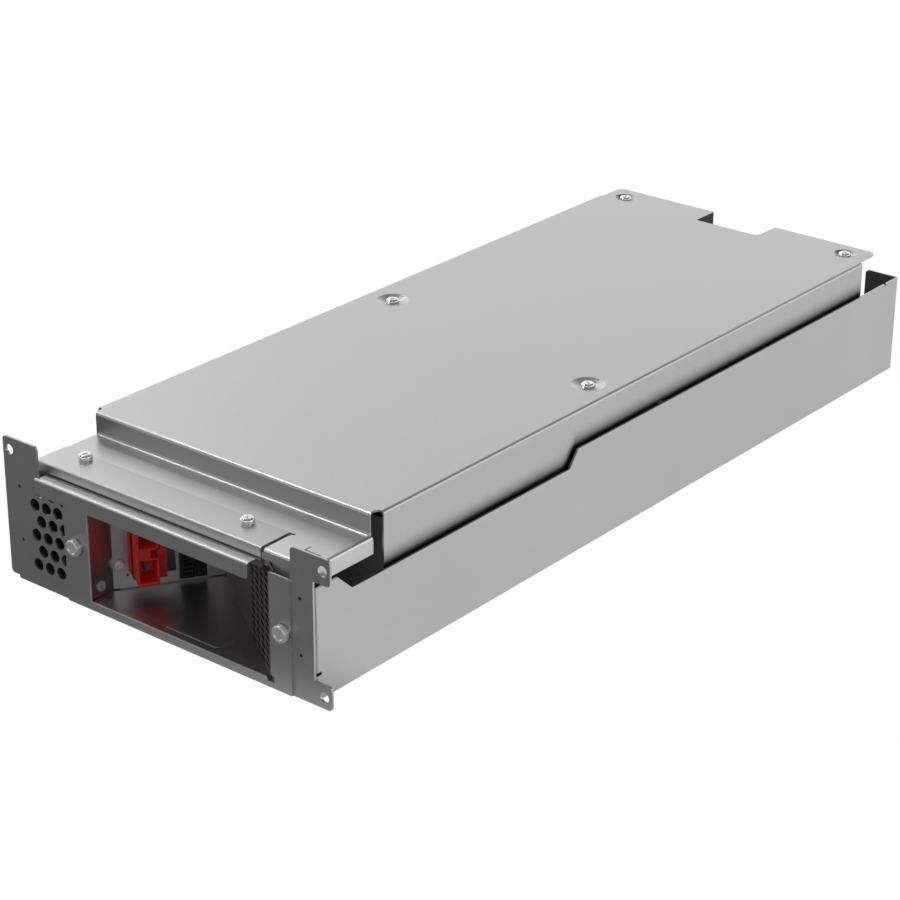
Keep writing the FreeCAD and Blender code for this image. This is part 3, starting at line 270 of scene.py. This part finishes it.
def ledge_painted_light(zinc):
    """Mask of the cover's low front ledge, fading out at its left end, where light is painted on to make it
    lighter.
    """
    x, y, z = zinc.axes()
    return (zinc.below(z, *LEDGE_TOP_FALL) * zinc.below(y, *LEDGE_BACK_FALL)
            * zinc.above(x, *LEDGE_LEFT_RISE))


def riser_painted_shade(zinc):
    """Mask of the upright step between the ledge and the top, where shade is painted on to make it darker."""
    _, y, z = zinc.axes()
    return (zinc.above(z, *RISER_FOOT_RISE) * zinc.below(z, *RISER_TOP_FALL)
            * zinc.below(y, *RISER_BACK_FALL))


cover_zinc = galvanised("cover_zinc", painted_light_and_shade=[(beside_tray, 0.12, 1.0), (ledge_painted_light, 1.25, 1.0),
                                              (riser_painted_shade, 0.72, 1.0)])
dress(cover_zinc, "top_cover")
strip_zinc = galvanised("strip_zinc", light=0.61)
dress(strip_zinc, "ledge_strip")

# Connector pocket: a folded bracket whose slanted wall carries the plugs, and
# a plain roof, both of galvanised sheet, with a thin film on the pocket's floor.

pocket_zinc = galvanised("pocket_zinc", light=0.62, rough=0.36)
dress(pocket_zinc, "connector_bracket", "pocket_roof")
dress(tray_zinc, "pocket_film")

# Air baffle: thin dark sheet with a field of staggered slots in its front part,
# set slantwise from the right post to the back of the pocket. The field is one
# pierced six-sided tile, repeated, trimmed and stretched.


def start_on(kind, **settings):
    """Add a primitive, alone selected, and go into edit mode on it."""
    bpy.ops.object.select_all(action="DESELECT")
    getattr(bpy.ops.mesh, kind)(**settings)
    made = bpy.context.object
    bpy.ops.object.transform_apply(location=True, rotation=False, scale=False)
    bpy.ops.object.mode_set(mode="EDIT")
    return made


def pick(made, kind, test):
    """Select the vertices, edges or faces that pass a test."""
    bpy.ops.mesh.select_mode(type={"verts": "VERT", "edges": "EDGE", "faces": "FACE"}[kind])
    bpy.ops.mesh.select_all(action="DESELECT")
    shape = bmesh.from_edit_mesh(made.data)
    for item in getattr(shape, kind):
        item.select_set(bool(test(item)))
    shape.select_flush_mode()
    bmesh.update_edit_mesh(made.data)


def extrude(x, y, z):
    """Extrude the selected faces or edges by that much."""
    bpy.ops.mesh.extrude_region_move(TRANSFORM_OT_translate={"value": (x, y, z)})


def stretch(x, y, z):
    """Scale what is selected about the origin."""
    bpy.ops.transform.resize(value=(x, y, z), center_override=(0, 0, 0))


def close():
    """Leave edit mode with outward normals, smooth where it bends gently."""
    gentle = 0.5
    bpy.ops.mesh.select_all(action="SELECT")
    bpy.ops.mesh.normals_make_consistent(inside=False)
    bpy.ops.object.mode_set(mode="OBJECT")
    bpy.ops.object.shade_smooth_by_angle(angle=gentle)


def apply_modifier(made, name, kind, **settings):
    modifier = made.modifiers.new(name, kind)
    for key, value in settings.items():
        setattr(modifier, key, value)
    bpy.context.view_layer.objects.active = made
    bpy.ops.object.modifier_apply(modifier=name)


def finish_piece(made, name, material, record_slot, *nodes):
    """Name and dress a piece fixed to the body, which may stand for CAD nodes."""
    made.name = made.data.name = name
    made.data.materials.clear()
    made.data.materials.append(material)
    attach(made, "root")
    if nodes:
        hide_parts(*nodes)
    return made


baffle_low, baffle_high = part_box("air_baffle")
baffle_height = baffle_high[2] - baffle_low[2]
BAFFLE_FLANGE, BAFFLE_SHEET = 0.0130, 0.0003
foot = Vector((baffle_high[0] - BAFFLE_FLANGE, baffle_low[1], baffle_low[2]))
reach = Vector((baffle_low[0] - foot.x, baffle_high[1] - foot.y, 0))
PITCH, HOLE_RADIUS, SLOT_STRETCH = 0.0044, 0.0014, 3.2
FIELD_START, FIELD_COLUMNS = 0.0120, 4
WELD_REACH = 0.00002
tile_radius = PITCH / math.sqrt(3)
column_step = tile_radius * 1.5
rows = math.ceil(baffle_height / PITCH) + 2

# Every second corner of a twelve-sided face is drawn in to the middle of a side
# of the six-sided tile, so that the inset ring has twelve corners to round.
baffle = start_on("primitive_circle_add", vertices=12, radius=tile_radius, fill_type="NGON")
pick(baffle, "verts", lambda v: round(math.degrees(math.atan2(v.co.y, v.co.x))) % 60 == 30)
to_side = math.cos(math.pi / 6)
stretch(to_side, to_side, to_side)
bpy.ops.mesh.select_all(action="SELECT")
bpy.ops.mesh.inset(thickness=tile_radius * 0.2)
bpy.ops.transform.tosphere(value=1.0, center_override=(0, 0, 0))
inner = [v.co.length for v in bmesh.from_edit_mesh(baffle.data).verts if v.select]
to_hole = HOLE_RADIUS / inner[0]
stretch(to_hole, to_hole, to_hole)
bpy.ops.mesh.delete(type="FACE")
bpy.ops.object.mode_set(mode="OBJECT")
for name, count, step in (("up", rows, (0, PITCH, 0)),
                          ("pair", 2, (column_step, PITCH / 2, 0)),
                          ("along", FIELD_COLUMNS // 2 + 1, (column_step * 2, 0, 0))):
    apply_modifier(baffle, name, "ARRAY", use_relative_offset=False, use_constant_offset=True,
                   count=count, constant_offset_displace=step, use_merge_vertices=True,
                   merge_threshold=WELD_REACH)
bpy.ops.object.mode_set(mode="EDIT")
field_ends = column_step / 2, column_step * (FIELD_COLUMNS + 0.5)
for point, way in (((field_ends[0], 0, 0), (-1, 0, 0)), ((field_ends[1], 0, 0), (1, 0, 0)),
                   ((0, PITCH, 0), (0, -1, 0)), ((0, PITCH + baffle_height, 0), (0, 1, 0))):
    bpy.ops.mesh.select_all(action="SELECT")
    bpy.ops.mesh.bisect(plane_co=point, plane_no=way, clear_outer=True)
bpy.ops.mesh.select_all(action="SELECT")
stretch(SLOT_STRETCH, 1, 1)
bpy.ops.transform.translate(value=(FIELD_START - field_ends[0] * SLOT_STRETCH, 0, 0))
field_end = FIELD_START + (field_ends[1] - field_ends[0]) * SLOT_STRETCH
for edge_x, goal_x in ((FIELD_START, 0.0), (field_end, reach.length)):
    pick(baffle, "edges", lambda e: all(abs(v.co.x - edge_x) < WELD_REACH / 2 for v in e.verts))
    extrude(goal_x - edge_x, 0, 0)
bpy.ops.object.mode_set(mode="OBJECT")
apply_modifier(baffle, "sheet", "SOLIDIFY", thickness=BAFFLE_SHEET, offset=-1.0)
heading = Matrix.Rotation(math.atan2(reach.y, reach.x), 4, "Z")
upright = Matrix.Rotation(math.pi / 2, 4, "X")
baffle.data.transform(Matrix.Translation(foot) @ heading @ upright @ Matrix.Translation((0, -PITCH, 0)))

FOOT_BAND, TOP_BAND, BAND_BLUR = 0.0004, 0.0005, 0.0002


def baffle_edge_painted_highlights(zinc):
    """Mask of the cut edges at the foot and the top of the sheet, painted bright as highlights."""
    _, _, z = zinc.axes()
    low, high = baffle_low[2] + FOOT_BAND, baffle_high[2] - TOP_BAND
    return zinc.below(z, low, low + BAND_BLUR) + zinc.above(z, high - BAND_BLUR, high)


baffle_zinc = galvanised("baffle_zinc", light=0.2, rough=0.45, metal=0.6, tint=(1.0, 0.88, 0.84),
                         painted_light_and_shade=[(baffle_edge_painted_highlights, 2.4, 0.6)])
finish_piece(baffle, "air_baffle_screen", baffle_zinc, "galvanised_sheet", "air_baffle")

# Stiffener behind the panel's lip: an upright strip of sheet along the whole
# lip, with its weld foot below it only as far as the foot is spot welded.

stiffener_low, stiffener_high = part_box("front_stiffener")
STIFFENER_SHEET, FOOT_END_X, FOOT_TOP_Z = 0.0007, 0.0550, 0.0695
foot_sheet_top = stiffener_low[2] + STIFFENER_SHEET
stiffener = start_on("primitive_cube_add", size=1.0)
stretch(stiffener_high[0] - stiffener_low[0], STIFFENER_SHEET, stiffener_high[2] - FOOT_TOP_Z)
bpy.ops.transform.translate(value=((stiffener_high[0] + stiffener_low[0]) / 2,
                                   stiffener_high[1] - STIFFENER_SHEET / 2,
                                   (stiffener_high[2] + FOOT_TOP_Z) / 2))
bpy.ops.mesh.select_all(action="SELECT")
bpy.ops.mesh.bisect(plane_co=(FOOT_END_X, 0, 0), plane_no=(1, 0, 0))
pick(stiffener, "faces", lambda f: f.normal.z < -0.9 and f.calc_center_median().x < FOOT_END_X)
extrude(0, 0, foot_sheet_top - FOOT_TOP_Z)
extrude(0, 0, -STIFFENER_SHEET)
pick(stiffener, "faces", lambda f: f.normal.y < -0.9 and f.calc_center_median().z < foot_sheet_top)
extrude(0, stiffener_low[1] + STIFFENER_SHEET - stiffener_high[1], 0)
close()
finish_piece(stiffener, "lip_stiffener", plate_zinc, "galvanised_sheet", "front_stiffener")

# Power plug: moulded red polycarbonate with tinned contacts, pushed through the slanted wall of the pocket.
# What stands behind the wall is black, painted shade that keeps it dark where it shows through the vents.


def moulded(name, colour, rough):
    plastic = Finish(name)
    pebble = plastic.noise(2600.0, 2.0)
    cloud = plastic.noise(60.0, 3.0)
    dark = tuple(part * 0.86 for part in colour) + (1,)
    tint = plastic.between(plastic.spread(cloud, 0.0, 1.0), dark, colour + (1,))
    roughness = plastic.spread(pebble, rough - 0.04, rough + 0.04)
    normal = plastic.bump(pebble, 0.1, 0.0002)
    return plastic.surface(Base_Color=tint, Roughness=roughness, Normal=normal)


def softened(node, name, material, record_slot, edge):
    """Copy of a moulding with its flats made whole and its edges rounded."""
    sharp = math.radians(40)
    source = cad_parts[node]
    made = bpy.data.objects.new(name, source.data.copy())
    bpy.context.scene.collection.objects.link(made)
    bpy.ops.object.select_all(action="DESELECT")
    made.select_set(True)
    bpy.context.view_layer.objects.active = made
    bpy.ops.object.mode_set(mode="EDIT")
    bpy.ops.mesh.select_all(action="SELECT")
    bpy.ops.mesh.remove_doubles(threshold=0.00001)
    bpy.ops.mesh.dissolve_limited(angle_limit=math.radians(2))
    bpy.ops.object.mode_set(mode="OBJECT")
    apply_modifier(made, "edges", "BEVEL", width=edge, segments=2, limit_method="ANGLE",
                   angle_limit=sharp)
    bpy.ops.object.shade_smooth_by_angle(angle=sharp)
    return finish_piece(made, name, material, record_slot, node)


WALL_FOOT, INTO_WALL = Vector((-0.0636, frame_y(22.2), 0)), Vector((-0.834, 0.552, 0))
WALL_DEPTH = 0.001
red_case = moulded("red_case", (0.88, 0.033, 0.028), 0.32)
black_case_and_painted_shade = moulded("black_case_and_painted_shade", (0.008, 0.008, 0.009), 0.42)
plug = softened("power_connector", "power_plug", red_case, "red_plastic", 0.0003)
plug.data.materials.append(black_case_and_painted_shade)
# Faces deeper than the wall get the black material as painted shade.
for face in plug.data.polygons:
    face.material_index = int((face.center - WALL_FOOT).dot(INTO_WALL) > WALL_DEPTH)
tin = galvanised("tin", light=0.75, rough=0.25)
dress(tin, "signal_contacts", "battery_terminals")
# Tin of the power contacts, much darker and rougher than the other tin.
dark_dull_tin = galvanised("dark_dull_tin", light=0.15, rough=0.5)
dress(dark_dull_tin, "power_contacts")

# Signal plugs: black glass-filled nylon housings, a wide and a narrow one,
# beside the power plug on the same wall.

for width in ("wide", "narrow"):
    softened(f"signal_connector_{width}", f"signal_plug_{width}", black_case_and_painted_shade, "black_plastic", 0.00015)

# Nuts and spacers: turned steel with bright zinc plate, behind the sheets that
# the screws hold and between the cover's flanges and the tray.

bright_zinc = galvanised("bright_zinc", light=0.85, rough=0.2)
dress(bright_zinc, "panel_screw_nuts", "strip_nuts", "cover_nuts", "flange_spacers")

# Pan-head screws of the cover, the strip and the pocket wall: cold-headed
# steel with a cross recess. One is made upright and copied to its places.


def off_axis(face):
    """How far the middle of a face is from the upright axis."""
    return face.calc_center_median().xy.length


def pan_head(radius, height, shank_radius, shank_length):
    """A cross-recess pan-head screw standing on the origin."""
    rounding, recess_taper = height * 0.55, 0.6
    recess_width, recess_reach, recess_depth = radius * 0.24, radius * 0.42, height * 0.4
    made = start_on("primitive_cylinder_add", vertices=36, radius=radius, depth=height,
                    location=(0, 0, height / 2))
    pick(made, "edges", lambda e: all(v.co.z > height * 0.99 for v in e.verts))
    bpy.ops.mesh.bevel(offset=rounding, segments=6)
    pick(made, "faces", lambda f: f.normal.z < -0.9)
    bpy.ops.mesh.inset(thickness=radius - shank_radius)
    extrude(0, 0, -shank_length)
    close()
    cross = start_on("primitive_cube_add", size=recess_width, location=(0, 0, height))
    for x, y in ((1, 0), (-1, 0), (0, 1), (0, -1)):
        pick(cross, "faces", lambda f: f.normal.x * x + f.normal.y * y > 0.9
             and off_axis(f) < recess_width)
        extrude(x * recess_reach, y * recess_reach, 0)
    pick(cross, "verts", lambda v: v.co.z < height)
    bpy.ops.transform.translate(value=(0, 0, -recess_depth))
    stretch(recess_taper, recess_taper, 1.0)
    bpy.ops.mesh.select_all(action="SELECT")
    bpy.ops.mesh.normals_make_consistent(inside=False)
    bpy.ops.object.mode_set(mode="OBJECT")
    apply_modifier(made, "recess", "BOOLEAN", operation="DIFFERENCE", object=cross, solver="EXACT")
    bpy.data.objects.remove(cross)
    return made


def set_copies(model, name, places, material, record_slot, *nodes):
    """Copies of a model at its places, each placed in its own mesh."""
    for number, place in enumerate(places, 1):
        copy = bpy.data.objects.new(name, model.data.copy())
        bpy.context.scene.collection.objects.link(copy)
        copy.data.transform(place)
        finish_piece(copy, f"{name}_{number}", material, record_slot, *nodes)
    bpy.data.objects.remove(model)


def standing(x, y, z, turn):
    """Upright at x, y and z in mm, turned about its own axis."""
    return Matrix.Translation((x / 1000, frame_y(y), z / 1000)) @ Matrix.Rotation(turn, 4, "Z")


screw_zinc = galvanised("screw_zinc", light=0.97, rough=0.14, grain=0.5)
HEAD_RADIUS, HEAD_HEIGHT, SHANK_RADIUS = 0.0043, 0.0029, 0.0019
COVER_SEAT_Z, STRIP_SEAT_Z = 90.25, 79.6
COVER_SHANK, STRIP_SHANK = 0.004, 0.003
COVER_SCREWS = ((-90.5, 307.3, 0.3), (91.8, 275.5, 0.9), (-93.2, 573.5, 0.5), (91.8, 573.7, 1.2))
STRIP_SCREWS = ((-84.2, 24.8, 0.2), (44.9, 24.2, 0.7))
for kind, shank_length, seat_z, places in (("cover_screw", COVER_SHANK, COVER_SEAT_Z, COVER_SCREWS),
                                           ("strip_screw", STRIP_SHANK, STRIP_SEAT_Z, STRIP_SCREWS)):
    screw = pan_head(HEAD_RADIUS, HEAD_HEIGHT, SHANK_RADIUS, shank_length)
    set_copies(screw, kind, [standing(x, y, seat_z, turn) for x, y, turn in places],
               screw_zinc, "plated_fastener", f"{kind}s")
dress(screw_zinc, "strip_washers")
pale_zinc = galvanised("pale_zinc", light=0.8, rough=0.5, metal=0.3, tint=(1.0, 0.95, 0.92))
dress(pale_zinc, "bracket_screw", "rivet_nut")

# Thumbscrews of the front panel: turned and knurled heads, dished in front,
# each behind a toothed captive ring pressed in the panel.


def facing_front(x, y, z):
    """Turned to the front at x, y and z in mm."""
    return Matrix.Translation((x / 1000, frame_y(y), z / 1000)) @ Matrix.Rotation(math.pi / 2, 4, "X")


PANEL_FACE_Y, RING_SHEET = -1.2, 0.9
THUMB_PLACES = ((-67.9, 37.7), (93.1, 37.7))
THUMB_RADIUS, THUMB_SIDES, KNURL_DEPTH = 0.005, 48, 0.00025
RIM_WIDTH, DISH_SLOPE, DISH_DEPTH, RIM_ROUNDING = 0.0014, 0.0007, 0.0006, 0.0009
NECK_INSET, NECK_LENGTH = 0.0030, 0.009
thumb_height = (THUMB_REACH + PANEL_FACE_Y - RING_SHEET) / 1000
thumb = start_on("primitive_cylinder_add", vertices=THUMB_SIDES, radius=THUMB_RADIUS,
                 depth=thumb_height, location=(0, 0, thumb_height / 2))
pick(thumb, "faces", lambda f: f.normal.z > 0.9)
bpy.ops.mesh.inset(thickness=RIM_WIDTH)
bpy.ops.mesh.inset(thickness=DISH_SLOPE, depth=-DISH_DEPTH)
pick(thumb, "edges", lambda e: all(v.co.z > thumb_height * 0.99 and v.co.xy.length > THUMB_RADIUS * 0.98
                                   for v in e.verts))
bpy.ops.mesh.bevel(offset=RIM_ROUNDING, segments=4)
pick(thumb, "faces", lambda f: abs(f.normal.z) < 0.3 and off_axis(f) > THUMB_RADIUS * 0.98
     and int(math.degrees(math.atan2(f.normal.y, f.normal.x)) % 360 * THUMB_SIDES / 360) % 2 == 0)
bpy.ops.mesh.extrude_faces_move(TRANSFORM_OT_shrink_fatten={"value": KNURL_DEPTH})
pick(thumb, "faces", lambda f: f.normal.z < -0.9 and off_axis(f) < THUMB_RADIUS / 5)
bpy.ops.mesh.inset(thickness=NECK_INSET)
extrude(0, 0, -NECK_LENGTH)
close()
thumb_zinc = galvanised("thumb_zinc", light=0.85, rough=0.22, grain=0.5, metal=0.5)
set_copies(thumb, "thumbscrew", [facing_front(x, PANEL_FACE_Y - RING_SHEET, z) for x, z in THUMB_PLACES],
           thumb_zinc, "plated_fastener", "panel_screws")

RING_RADIUS, RING_TEETH, TOOTH_DEPTH, RING_EDGE = 0.0057, 14, 0.0008, 0.0004
ring_height = RING_SHEET / 1000
ring = start_on("primitive_cylinder_add", vertices=RING_TEETH * 2, radius=RING_RADIUS - TOOTH_DEPTH,
                depth=ring_height, location=(0, 0, ring_height / 2))
pick(ring, "faces", lambda f: abs(f.normal.z) < 0.5
     and round(math.atan2(f.normal.y, f.normal.x) / (math.pi / RING_TEETH) - 0.5) % 2 == 0)
bpy.ops.mesh.extrude_faces_move(TRANSFORM_OT_shrink_fatten={"value": TOOTH_DEPTH})
pick(ring, "faces", lambda f: abs(f.normal.z) > 0.9 and off_axis(f) < RING_RADIUS / 5)
bpy.ops.mesh.inset(thickness=RING_EDGE)
close()
ring_zinc = galvanised("ring_zinc", light=0.5, rough=0.3)
set_copies(ring, "thumbscrew_ring", [facing_front(x, PANEL_FACE_Y, z) for x, z in THUMB_PLACES],
           ring_zinc, "plated_fastener", "panel_screw_rings")

# Batteries in their liner, with copper links, sleeved leads, foam pads and
# the folded brackets that hold them.

case_plastic = moulded("case_plastic", (0.03, 0.03, 0.032), 0.45)
for row in ("front", "middle", "rear"):
    dress(case_plastic, f"battery_{row}_left", f"battery_{row}_right")
dress(black_case_and_painted_shade, "fuse_holder")
liner_film = moulded("liner_film", (0.5, 0.5, 0.48), 0.4)
dress(liner_film, "battery_liner")
foam = moulded("foam", (0.02, 0.02, 0.02), 0.9)
dress(foam, "front_pad", "rear_pad", "hold_down_pad_left", "hold_down_pad_right")
copper = moulded("copper", (0.6, 0.27, 0.15), 0.3)
dress(copper, "series_links")
red_sleeve = moulded("red_sleeve", (0.5, 0.02, 0.02), 0.5)
dress(red_sleeve, "power_lead_positive")
black_sleeve = moulded("black_sleeve", (0.015, 0.015, 0.015), 0.5)
dress(black_sleeve, "power_lead_negative")
ceramic = moulded("ceramic", (0.75, 0.73, 0.68), 0.4)
dress(ceramic, "fuse")
inner_zinc = galvanised("inner_zinc")
dress(inner_zinc, "front_divider", "hold_down_left", "hold_down_right")
# Black on the rear stop and the rear posts is painted shade: it keeps the rear return flange, which reflects
# them, dark.
painted_shade_coat = moulded("painted_shade_coat", (0.02, 0.02, 0.02), 0.4)
dress(painted_shade_coat, "rear_stop", "rear_post_left", "rear_post_right")

# Black film as painted shade: cut sheet stuck along both tray walls beside the cover, on the flap of the rear
# notch and at the two right corners of the pocket. Beside the cover it paints the dark of the narrow gap
# between the walls and the cover's flanks, on the flap it paints the flap's shade, and at the corners it
# paints the dark gaps of the notches there.

painted_shade_film = moulded("painted_shade_film", (0.008, 0.008, 0.008), 0.5)


def film(name, *boxes):
    """Black sheets of painted shade in one piece, each given by its corners in mm."""
    made = None
    for low, high in boxes:
        sheet = start_on("primitive_cube_add", size=1.0)
        stretch(*[(b - a) / 1000 for a, b in zip(low, high)])
        middle = [(a + b) / 2 for a, b in zip(low, high)]
        bpy.ops.transform.translate(value=(middle[0] / 1000, frame_y(middle[1]), middle[2] / 1000))
        bpy.ops.mesh.bevel(offset=0.0001, segments=1)
        close()
        if made:
            made.select_set(True)
            bpy.context.view_layer.objects.active = made
            bpy.ops.object.join()
        made = bpy.context.object
    finish_piece(made, name, painted_shade_film, "insulation_film")


TRAY_INNER_X, FILM = 112.95, 0.4
SIDE_RUNS = ((38.0, 222.0, 54.5, 58.0), (244.0, 320.0, 54.5, 68.6), (333.0, 590.0, 54.5, 68.6))
for side, name in ((-1, "side_gap_shade_left"), (1, "side_gap_shade_right")):
    x0, x1 = sorted((side * TRAY_INNER_X, side * (TRAY_INNER_X - FILM)))
    film(name, *[((x0, y0, z0), (x1, y1, z1)) for y0, y1, z0, z1 in SIDE_RUNS])
NOTCH_FLAP = (-25.9, 567.0, 71.5), (-25.6, 587.8, 92.0)
UPPER_CORNER = (77.6, 0.9, 69.5), (82.6, 1.3, 72.9)
LOWER_CORNER = (80.6, -1.5, 4.9), (84.4, -1.3, 7.9)
film("notch_flap_shade", NOTCH_FLAP)
film("corner_notch_shade_upper", UPPER_CORNER)
film("corner_notch_shade_lower", LOWER_CORNER)

# Closing sheet below the front bend of the ledge, right of the pocket: matt
# zinc-grey card, cut back at its lower left corner for the baffle.

CARD, CARD_Y = 0.0004, 7.2
CARD_LEFT_X, CARD_CUT_X, CARD_RIGHT_X = 0.0715, 0.0790, 0.0982
CARD_TOP_Z, CARD_CUT_Z, CARD_BOTTOM_Z = 0.0760, 0.0722, 0.0637
closing_sheet = start_on("primitive_cube_add", size=1.0)
stretch(CARD_RIGHT_X - CARD_LEFT_X, CARD, CARD_TOP_Z - CARD_CUT_Z)
bpy.ops.transform.translate(value=((CARD_LEFT_X + CARD_RIGHT_X) / 2, frame_y(CARD_Y),
                                   (CARD_TOP_Z + CARD_CUT_Z) / 2))
bpy.ops.mesh.select_all(action="SELECT")
bpy.ops.mesh.bisect(plane_co=(CARD_CUT_X, 0, 0), plane_no=(1, 0, 0))
pick(closing_sheet, "faces", lambda f: f.normal.z < -0.9 and f.calc_center_median().x > CARD_CUT_X)
extrude(0, 0, CARD_BOTTOM_Z - CARD_CUT_Z)
close()
closing_card = moulded("closing_card", (0.38, 0.385, 0.38), 0.6)
finish_piece(closing_sheet, "ledge_closing_sheet", closing_card, "insulation_film")

# Pilot hole shade: small black pins pushed into the four pilot holes of the front plate, flush with its face
# and rounded at the rim. Their black is painted shade for the dark depth of the holes.

PILOT_PLACES = ((-114.6, 61.6), (-114.6, 27.1), (105.0, 61.7), (105.0, 27.1))
PIN_RADIUS, PIN_DEPTH = 0.00125, 0.0012
pin = start_on("primitive_cylinder_add", vertices=20, radius=PIN_RADIUS, depth=PIN_DEPTH,
               location=(0, 0, -PIN_DEPTH / 2))
pick(pin, "edges", lambda e: all(v.co.z > -PIN_DEPTH / 10 for v in e.verts))
bpy.ops.mesh.bevel(offset=PIN_DEPTH / 4, segments=2)
close()
set_copies(pin, "pilot_hole_shade", [facing_front(x, 0.0, z) for x, z in PILOT_PLACES],
           painted_shade_film, "black_plastic")

# Floor, light and camera. The floor and the sky are white to the camera. What
# the metal sees is a pale room with three dim sides and a dim floor in front, a
# soft lamp at the front left and a weak one at the back left.


def grey(level):
    return (level, level, level, 1)


FRONT_FLOOR, BACK_FLOOR = grey(0.125), grey(0.68)
FLOOR_CHANGE = -0.322, -0.235
bpy.ops.object.select_all(action="DESELECT")
bpy.ops.mesh.primitive_plane_add(size=14.0, location=(0, 0, 0))
floor = bpy.context.object
floor.name = "studio_floor"
paper = Finish("paper")
x, y, _ = paper.axes()
# The floor glows instead of being lit: dim in front and pale behind to all rays but the camera's, which sees
# it white.
shade = paper.between(paper.above(y + x * 0.15, *FLOOR_CHANGE), FRONT_FLOOR, BACK_FLOOR)
ray = paper.node("ShaderNodeLightPath")["Is Camera Ray"]
seen = paper.between(ray, shade, grey(1.0))
glow = paper.node("ShaderNodeEmission", None, {"Color": seen, "Strength": 1.0})["Emission"]
paper.node("ShaderNodeOutputMaterial", None, {"Surface": glow})
floor.data.materials.append(paper.material)

bpy.context.scene.world = bpy.data.worlds.new("sky")
sky = Finish("sky", bpy.context.scene.world)
facing = sky.node("ShaderNodeTexCoord")["Generated"]


def toward(direction, start, end):
    """1 where the sky lies in that direction, falling to 0 around it."""
    turned = sky.node("ShaderNodeVectorMath", {"operation": "DOT_PRODUCT"}, {0: facing, 1: direction})
    return sky.above(turned["Value"], start, end)


FRONT_LEFT_LOW, FRONT_RIGHT, BACK_RIGHT = (-0.55, -0.79, 0.27), (0.85, -0.5, 0.15), (0.415, 0.707, 0.572)
DIM_SIDES = ((FRONT_LEFT_LOW, 0.5, 0.95, 0.5), (FRONT_RIGHT, 0.6, 0.95, 0.45), (BACK_RIGHT, 0.84, 0.97, 0.35))
BRIGHT_WALL, DIM_CEILING, DARKEST = 1.5, 0.25, 0.03
rise = sky.node("ShaderNodeSeparateXYZ", None, {"Vector": facing})["Z"]
room = sky.spread(rise, BRIGHT_WALL, DIM_CEILING, 0.05, 0.75)
for direction, start, end, share in DIM_SIDES:
    room = room - toward(direction, start, end) * share
room = sky.node("ShaderNodeMath", {"operation": "MAXIMUM"}, {0: room, 1: DARKEST})[0]
ray = sky.node("ShaderNodeLightPath")["Is Camera Ray"]
seen = ray * (1.0 - room) + room
light = sky.node("ShaderNodeBackground", None, {"Color": seen, "Strength": 1.0})["Background"]
sky.node("ShaderNodeOutputWorld", None, {"Surface": light})


def softbox(name, place, size, power):
    """A square lamp at a place, turned to the object's middle."""
    lamp = bpy.data.lights.new(name, "AREA")
    lamp.shape = "RECTANGLE"
    lamp.size = lamp.size_y = size
    lamp.energy = power
    box = bpy.data.objects.new(name, lamp)
    bpy.context.scene.collection.objects.link(box)
    box.location = place
    box.rotation_euler = (Vector((0, 0, 0.05)) - Vector(place)).to_track_quat("-Z", "Y").to_euler()


softbox("key_light", (-1.5, -0.9, 2.4), 0.6, 14.0)
softbox("rim_light", (-1.97, 1.10, 1.88), 0.3, 2.2)

AZIMUTH, ELEVATION, ROLL = math.radians(38.998), math.radians(24.544), math.radians(0.301)
lens = bpy.data.cameras.new("camera")
lens.lens = 102.4
lens.sensor_width = 36.0
camera = bpy.data.objects.new("camera", lens)
bpy.context.scene.collection.objects.link(camera)
camera.location = (0.92673, -1.19176, 0.70063)
aim = Vector((-math.sin(AZIMUTH) * math.cos(ELEVATION), math.cos(AZIMUTH) * math.cos(ELEVATION),
              -math.sin(ELEVATION)))
turned = aim.to_track_quat("-Z", "Y").to_matrix() @ Matrix.Rotation(ROLL, 3, "Z")
camera.rotation_euler = turned.to_euler()
bpy.context.scene.camera = camera
bpy.context.scene.view_settings.view_transform = "Standard"
